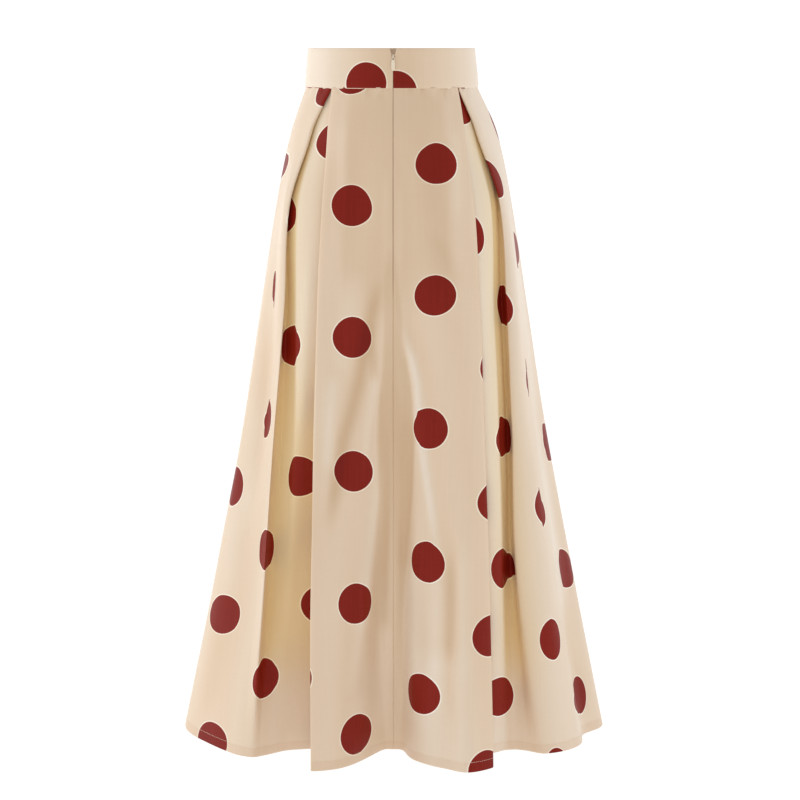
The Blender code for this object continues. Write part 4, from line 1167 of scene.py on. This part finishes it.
def plate(name, outline, hole, half_thickness, material, location):
    """Flat plate with a hole, both given as points (x, z) of equal number."""
    count = len(outline)
    vertices = [(x, y, z) for y in (half_thickness, -half_thickness)
                for x, z in outline + hole]
    faces = []
    back = 2 * count
    for i in range(count):
        j = (i + 1) % count
        faces += [(i, j, count + j, count + i),
                  (j + back, i + back, count + i + back, count + j + back),
                  (j, i, i + back, j + back),
                  (count + i, count + j, count + j + back, count + i + back)]
    return new_mesh(name, np.array(vertices) + np.array(location), faces, [material])


def pivot_depth():
    """Depth of the pull tab's hinge line."""
    return float(band_depth(PIVOT_HEIGHT)) + 0.5 * BAND_THICKNESS + PIVOT_STANDOFF


def pull_tab(name, material):
    """Long plate that is wider and round at its foot, with an eye at its top."""
    outline, eye = [], []
    for step in range(TAB_POINTS):
        angle = 2 * math.pi * step / TAB_POINTS
        down = 0.5 - 0.5 * math.sin(angle)
        half_width = 0.5 * (TAB_WIDTHS[0] + (TAB_WIDTHS[1] - TAB_WIDTHS[0]) * down)
        outline.append((half_width * squared(math.cos(angle), TAB_CORNER),
                        TAB_BAR - TAB_LENGTH * down))
        eye.append((TAB_EYE_HALF[0] * squared(math.cos(angle), EYE_CORNER),
                    -TAB_BAR - TAB_EYE_HALF[1] * (1 - squared(math.sin(angle), EYE_CORNER))))
    piece = plate(name, outline, eye, 0.5 * TAB_THICKNESS, material,
                  (0.0, pivot_depth(), PIVOT_HEIGHT))
    soften_edges(piece, TAB_BEVEL)
    return piece


def slider_arch(name, material):
    """Round-edged arch that carries the tab, with its neck going in through the notch."""
    vertices, faces = [], []
    middle, thick = 0.5 * (ARCH_OUTER + ARCH_INNER), 0.5 * (ARCH_OUTER - ARCH_INNER)
    for i in range(ARCH_RING):
        turn = 2 * math.pi * i / ARCH_RING
        first, following = i * ARCH_SIDES, (i + 1) % ARCH_RING * ARCH_SIDES
        for k in range(ARCH_SIDES):
            angle = 2 * math.pi * k / ARCH_SIDES
            radius = middle + thick * squared(math.cos(angle), ARCH_CORNER)
            vertices.append((ARCH_HALF_WIDTH * squared(math.sin(angle), ARCH_CORNER),
                             pivot_depth() + radius * math.cos(turn),
                             PIVOT_HEIGHT + radius * math.sin(turn)))
            m = (k + 1) % ARCH_SIDES
            faces.append((first + k, first + m, following + m, following + k))
    return new_mesh(name, vertices, faces, [material])


def slider_body(name, material):
    """The slider behind the tapes: two plates that taper downwards, joined by its neck."""
    wide, deep, high = SLIDER_BODY
    neck_end = pivot_depth() - 0.5 * (ARCH_OUTER + ARCH_INNER)
    body = zip_depths(np.array([PIVOT_HEIGHT]))[0] - SLIDER_BEHIND - 0.5 * deep
    centre = PIVOT_HEIGHT - SLIDER_BELOW
    plate_out = 0.5 * (deep - SLIDER_PLATE)
    blocks = [((wide, SLIDER_PLATE, high), (0, body - plate_out, centre), SLIDER_TAPER),
              ((wide, SLIDER_PLATE, high), (0, body + plate_out, centre), SLIDER_TAPER),
              (SLIDER_CORE, (0, body, centre + CORE_ABOVE), 1.0),
              ((SLIDER_NECK[0], neck_end - body, SLIDER_NECK[1]),
               (0, 0.5 * (neck_end + body), PIVOT_HEIGHT), 1.0)]
    vertices, faces = [], []
    cube = [(0, 1, 3, 2), (4, 6, 7, 5), (0, 4, 5, 1), (2, 3, 7, 6), (0, 2, 6, 4), (1, 5, 7, 3)]
    for size, middle, taper in blocks:
        faces += [tuple(len(vertices) + corner for corner in face) for face in cube]
        for sx, sy, sz in itertools.product((-0.5, 0.5), repeat=3):
            narrow = taper if sz < 0 else 1.0
            vertices.append((middle[0] + sx * size[0] * narrow, middle[1] + sy * size[1],
                             middle[2] + sz * size[2]))
    piece = new_mesh(name, vertices, faces, [material])
    soften_edges(piece, SLIDER_BEVEL)
    return piece


# ================================================================ materials
CREAM = (0.785, 0.615, 0.455, 1.0)
CREAM_DEEP = (0.765, 0.595, 0.435, 1.0)
RIM_CREAM = (0.95, 0.83, 0.68, 1.0)
RUST = (0.235, 0.013, 0.006, 1.0)
RUST_DEEP = (0.205, 0.010, 0.004, 1.0)
# What the colour is multiplied by: painted bounce light in closed in cloth, painted shade in a
# crease, a painted highlight on its crest, and painted shade where the hem's cloth lies in two
# layers
PAINTED_BOUNCE_TINT = (1.03, 0.97, 0.68, 1.0)
SHADED = (0.83, 0.75, 0.65, 1.0)
LIT = (1.09, 1.19, 1.33, 1.0)
HEM_SHADE = (0.93, 0.87, 0.83, 1.0)
HEM_SHADE_SHARE = 0.6
HEM_SHADE_FADES = (12.0, 13.4)    # above the hem's edge
DOT_EDGE = 0.3                  # half of the width over which a dot's edge fades
RIM_STARTS = 0.6                # out from the dot's edge, the rim starts to fade here
EDGE_WOBBLE = 0.8               # how ragged the print's edges are
REVERSE_DOT, REVERSE_RIM = 0.55, 0.3    # how much of the print shows through
STREAKS, SLUBS = (52.0, 1.6, 1.0), (3.0, 190.0, 1.0)    # how long noise is stretched
STREAK_NOISE, SLUB_NOISE = (1.0, 4.0, 0.65), (1.0, 3.0, 0.6)    # scale, detail and roughness
BLOTCH_NOISE, EDGE_NOISE = (2.2, 3.0), (150.0, 2.0)
BLOTCHES = 0.35                 # share of the lighter cream that they add
TONE_FADES = (0.36, 0.64)
TAFFETA_ROUGHNESS = ((0.3, 0.7), (0.50, 0.42))    # for these tones
TAFFETA_SHEEN = 0.22            # between the dots
TAFFETA_BUMP = (0.35, 0.00006)
RIB_PITCHES = (("Y", 0.55), ("X", 0.8))
RIB_RELIEF, SLUB_RELIEF = 0.25, 1.2
TWILL = (("X", 9000.0), ("Z", 6500.0))    # the tape's, in radians for each metre
TAPE_BUMP, SPECKLE_BUMP = (0.5, 0.0001), (0.4, 0.00002)
TAPE_TONES = ((0.60, 0.50, 0.38, 1.0), (0.70, 0.60, 0.47, 1.0))
THREAD_TONES = ((0.80, 0.66, 0.52, 1.0), (0.90, 0.78, 0.64, 1.0))
NYLON_TONES = ((0.62, 0.52, 0.40, 1.0), (0.70, 0.60, 0.47, 1.0))
ENAMEL_TONES = ((0.80, 0.68, 0.52, 1.0), (0.86, 0.75, 0.60, 1.0))
SPECKLE_FADES = (0.35, 0.65)
SPECKLE_ROUGHNESS = 0.08        # more or less than the middle


class Nodes:
    """The nodes of a material or of the world. Most methods add one and give its output."""

    def __init__(self, owner):
        owner.use_nodes = True
        self.owner, self.tree = owner, owner.node_tree

    def fill(self, node, inputs):
        """Give a node's inputs their values, or the outputs that they are linked to."""
        for name, value in inputs.items():
            if isinstance(value, bpy.types.NodeSocket):
                self.tree.links.new(value, node.inputs[name])
            else:
                node.inputs[name].default_value = value

    def add(self, kind, inputs, output=0, **settings):
        """A node of a kind with its settings and inputs."""
        node = self.tree.nodes.new(kind)
        for name, value in settings.items():
            setattr(node, name, value)
        self.fill(node, inputs)
        return node.outputs[output]

    def math(self, operation, *values, **settings):
        inputs = dict(enumerate(values))
        return self.add("ShaderNodeMath", inputs, operation=operation, **settings)

    def times(self, *values, **settings):
        return self.math("MULTIPLY", *values, **settings)

    def vector(self, operation, *values, output=0):
        inputs = dict(enumerate(values))
        return self.add("ShaderNodeVectorMath", inputs, output, operation=operation)

    def between(self, value, spans, results, **settings):
        """The value carried over from a span to a range of results."""
        inputs = dict(zip(("From Min", "From Max", "To Min", "To Max"), (*spans, *results)))
        return self.add("ShaderNodeMapRange", {"Value": value, **inputs}, "Result", **settings)

    def beyond(self, value, start, end):
        """0 before start, 1 after end, smooth between."""
        return self.between(value, (start, end), (0.0, 1.0), interpolation_type="SMOOTHSTEP")

    def within(self, value, start, end):
        """1 before start, 0 after end, smooth between."""
        return self.math("SUBTRACT", 1.0, self.beyond(value, start, end))

    def mixed(self, share, first, second, blend="MIX"):
        return self.add("ShaderNodeMix", {0: share, 6: first, 7: second}, 2, data_type="RGBA",
                        blend_type=blend)

    def multiplied(self, share, colour, by):
        return self.mixed(share, colour, by, "MULTIPLY")

    def noise(self, place, scale, detail, roughness=0.5):
        return self.add("ShaderNodeTexNoise", {"Vector": place, "Scale": scale, "Detail": detail,
                                               "Roughness": roughness}, "Fac")

    def stretched(self, place, scales):
        return self.add("ShaderNodeMapping", {"Vector": place, "Scale": scales})

    def point_value(self, label):
        return self.add("ShaderNodeAttribute", {}, "Fac", attribute_name=label)

    def axes(self, place):
        """The outputs for X, Y and Z of a place."""
        return self.add("ShaderNodeSeparateXYZ", {"Vector": place}).node.outputs

    def surface(self, colour, roughness, relief, strength, distance, **more):
        """Fill the material's shader, and give the material."""
        bump = self.add("ShaderNodeBump",
                        {"Height": relief, "Strength": strength, "Distance": distance}, "Normal")
        self.fill(self.tree.nodes["Principled BSDF"],
                  {"Base Color": colour, "Roughness": roughness, "Normal": bump, **more})
        return self.owner


def dot_distance(nodes, uv):
    """Distance in mm from the middle of the nearest dot of the half-drop lattice."""
    found = []
    for shift in (0.5, 0.0):
        cell = nodes.vector("FRACTION", nodes.vector("ADD", uv, (shift, shift, 0.0)))
        from_middle = nodes.vector("SUBTRACT", cell, (0.5, 0.5, 0.0))
        found.append(nodes.vector("LENGTH", from_middle, output="Value"))
    return nodes.times(nodes.math("MINIMUM", *found), REPEAT)


def printed_taffeta(name, reverse):
    """Crisp printed taffeta: fine cross ribs, slubs, dots with a pale rim, a hem of two layers,
    and painted light: warm bounce light in deep folds, shade and highlights, shade on the hem.
    """
    nodes = Nodes(bpy.data.materials.new(name))
    uv = nodes.add("ShaderNodeUVMap", {}, "UV", uv_map="print")
    streaks = nodes.noise(nodes.stretched(uv, STREAKS), *STREAK_NOISE)
    slubs = nodes.noise(nodes.stretched(uv, SLUBS), *SLUB_NOISE)
    tone = nodes.math("ADD", nodes.times(streaks, 0.5), nodes.times(slubs, 0.5))
    fine = nodes.beyond(tone, *TONE_FADES)
    cloth = nodes.mixed(fine, CREAM_DEEP, CREAM)
    cloth = nodes.mixed(nodes.times(nodes.noise(uv, *BLOTCH_NOISE), BLOTCHES), cloth, CREAM)

    edge_noise = nodes.math("SUBTRACT", nodes.noise(uv, *EDGE_NOISE), 0.5)
    distance = nodes.math("ADD", dot_distance(nodes, uv), nodes.times(edge_noise, EDGE_WOBBLE))
    in_dot = nodes.within(distance, DOT_RADIUS - DOT_EDGE, DOT_RADIUS + DOT_EDGE)
    in_rim = nodes.within(distance, DOT_RADIUS + RIM_STARTS, DOT_RADIUS + RING_WIDTH)
    if reverse:
        in_dot, in_rim = nodes.times(in_dot, REVERSE_DOT), nodes.times(in_rim, REVERSE_RIM)
    colour = nodes.mixed(in_rim, cloth, RIM_CREAM)
    colour = nodes.mixed(in_dot, colour, nodes.mixed(fine, RUST_DEEP, RUST))

    above_hem, closed, shaded = map(nodes.point_value, ("from_hem", "closed", "shaded"))
    # Painted bounce light: a gold tint where folds are closed in, thinning out near the hem
    painted_bounce_share = nodes.times(closed, nodes.beyond(above_hem, *PAINTED_BOUNCE_FADES))
    colour = nodes.multiplied(painted_bounce_share, colour, PAINTED_BOUNCE_TINT)
    colour = nodes.multiplied(nodes.times(shaded, 1.0, use_clamp=True), colour, SHADED)
    lit = nodes.math("MAXIMUM", nodes.times(shaded, -1.0), 0.0)
    colour = nodes.multiplied(lit, colour, LIT)
    # Painted shade: the hem's two layers of cloth are darkened, for the light that the second layer
    # keeps out
    hem_shade = nodes.times(nodes.within(above_hem, *HEM_SHADE_FADES), HEM_SHADE_SHARE)
    colour = nodes.multiplied(hem_shade, colour, HEM_SHADE)

    ribs = []
    axes = nodes.axes(uv)
    for axis, pitch in RIB_PITCHES:
        ribs.append(nodes.math("SINE", nodes.times(axes[axis], 2 * math.pi * REPEAT / pitch)))
    weave = nodes.times(nodes.math("ADD", *ribs), RIB_RELIEF)
    relief = nodes.math("ADD", weave, nodes.times(slubs, SLUB_RELIEF))
    sheen = nodes.times(nodes.math("SUBTRACT", 1.0, in_dot), TAFFETA_SHEEN)
    return nodes.surface(colour, nodes.between(tone, *TAFFETA_ROUGHNESS), relief, *TAFFETA_BUMP,
                         **{"Specular IOR Level": 0.15, "Sheen Weight": sheen,
                            "Sheen Roughness": 0.4})


def woven_tape():
    nodes = Nodes(bpy.data.materials.new("woven zip tape"))
    axes = nodes.axes(nodes.add("ShaderNodeTexCoord", {}, "Object"))
    wave = nodes.math("SINE", nodes.math("ADD", *[nodes.times(axes[axis], pitch)
                                                  for axis, pitch in TWILL]))
    share = nodes.math("ADD", nodes.times(wave, 0.5), 0.5)
    return nodes.surface(nodes.mixed(share, *TAPE_TONES), 0.85, wave, *TAPE_BUMP)


def speckled(name, tones, scale, roughness):
    """Two close tones broken up by fine noise, with a little relief."""
    nodes = Nodes(bpy.data.materials.new(name))
    noise = nodes.noise(nodes.add("ShaderNodeTexCoord", {}, "Object"), scale, 4.0)
    rough = nodes.between(noise, (0.0, 1.0), (roughness - SPECKLE_ROUGHNESS,
                                              roughness + SPECKLE_ROUGHNESS))
    colour = nodes.mixed(nodes.beyond(noise, *SPECKLE_FADES), *tones)
    return nodes.surface(colour, rough, noise, *SPECKLE_BUMP)


# ================================================================ stage
FLOOR_CORNERS = 64
SoftBox = namedtuple("SoftBox", "name place aim size power")
SOFT_BOXES = [
    SoftBox("left box", (2300, -100, 200), (0, 0, -420), (1600, 2200), 16.0),
    SoftBox("right box", (-2300, -100, 200), (0, 0, -420), (1600, 2200), 6.0),
    SoftBox("front left box", (1500, -1900, 250), (0, -60, -420), (1200, 1800), 7.0),
    SoftBox("front right box", (-1500, -1900, 250), (0, -60, -420), (1200, 1800), 4.0),
]
WORLD_COLOUR = (1.0, 0.995, 0.985, 1.0)
WORLD_STRENGTHS = (0.72, 1.1)   # as a light, and as the background


def floor():
    angles = 2 * math.pi * np.arange(FLOOR_CORNERS) / FLOOR_CORNERS
    rim = np.stack([FLOOR_RADIUS * np.cos(angles), FLOOR_RADIUS * np.sin(angles),
                    np.full(FLOOR_CORNERS, FLOOR_HEIGHT)], axis=-1)
    nodes = Nodes(bpy.data.materials.new("pale floor"))
    nodes.fill(nodes.tree.nodes["Principled BSDF"],
               {"Base Color": (0.1, 0.1, 0.1, 1.0), "Roughness": 0.9,
                "Emission Color": (1.0, 1.0, 0.99, 1.0), "Emission Strength": 0.97})
    return new_mesh("floor", rim, [list(range(FLOOR_CORNERS))], [nodes.owner], smooth=False)


def studio():
    """An even pale world and four large soft lights."""
    bpy.context.scene.world = bpy.data.worlds.new("studio")
    nodes = Nodes(bpy.context.scene.world)
    seen = nodes.add("ShaderNodeLightPath", {}, "Is Camera Ray")
    nodes.fill(nodes.tree.nodes["Background"],
               {"Color": WORLD_COLOUR,
                "Strength": nodes.between(seen, (0.0, 1.0), WORLD_STRENGTHS)})
    for box in SOFT_BOXES:
        light = bpy.data.lights.new(box.name, "AREA")
        light.shape = "RECTANGLE"
        light.size, light.size_y = box.size[0] * MM, box.size[1] * MM
        light.energy = box.power
        lamp = add_object(box.name, light)
        lamp.location = [value * MM for value in box.place]
        direction = np.array(box.aim, float) - np.array(box.place, float)
        lamp.rotation_euler = (math.acos(-direction[2] / np.linalg.norm(direction)), 0.0,
                               math.atan2(direction[1], direction[0]) - math.pi / 2)
        lamp.visible_camera = False


def camera():
    data = bpy.data.cameras.new("camera")
    data.lens = LENS
    data.sensor_width = SENSOR
    eye = add_object("camera", data)
    eye.location = [value * MM for value in CAMERA_AT]
    eye.rotation_euler = (math.radians(90 - CAMERA_TILT), 0.0, math.pi)
    bpy.context.scene.camera = eye


# ================================================================ the skirt
# What each piece is cut to, mm: its widest width, its length and its area in square metres
CUT_BACKS = {"left": (540.0, 922.0, 0.395), "right": (520.0, 922.0, 0.385)}
CUT_FRONT = (1060.0, 922.0, 0.80)


def place(piece, body, slot, *replaced):
    """Say which body a piece rides on and which of the nodes it replaces; slot, what it is made of,
    is not used.
    """
    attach(piece, body)
    if replaced:
        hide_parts(*replaced)


def place_sheet(piece, node):
    place(piece, "skirt", "taffeta", node)


def dress_cloth():
    cloth = [printed_taffeta("printed taffeta", False),
             printed_taffeta("printed taffeta, reverse", True)]
    thread = speckled("thread", THREAD_TONES, 900.0, 0.6)
    panels = [(f"back_{back.side}", CUT_BACKS[back.side],
               back_panel(f"cloth_back_{back.side}", back, cloth)) for back in BACKS]
    panels.append(("front", CUT_FRONT, front_panel("cloth_front", cloth)))
    for name, cut, (piece, points, above) in panels:
        stitches = hem_stitches(f"hem_stitches_{name}", points, above, thread)
        place(stitches, "skirt", "taffeta")
        place_sheet(piece, f"{name}_panel")
    place_sheet(waistband("waistband_cloth", cloth[0]), "waistband")


def dress_zip():
    nylon = speckled("zip coil", NYLON_TONES, 1200.0, 0.4)
    enamel = speckled("cream enamel", ENAMEL_TONES, 600.0, 0.32)
    tape = woven_tape()
    place(zip_coil("zip_coil", nylon), "skirt", "zip_tape")
    place(slider_body("slider_body", enamel), "skirt", "zip_metal", "zip_slider")
    place(slider_arch("slider_arch", enamel), "skirt", "zip_metal")
    place(pull_tab("pull_tab_plate", enamel), "pull_tab", "zip_metal", "zip_pull_tab")
    for node, material in (("zip_tape_left", tape), ("zip_tape_right", tape),
                           ("zip_bottom_stop", enamel)):
        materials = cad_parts[node].data.materials
        materials.clear()
        materials.append(material)


camera()
floor()
studio()
dress_cloth()
dress_zip()
bpy.context.scene.view_settings.view_transform = "Standard"
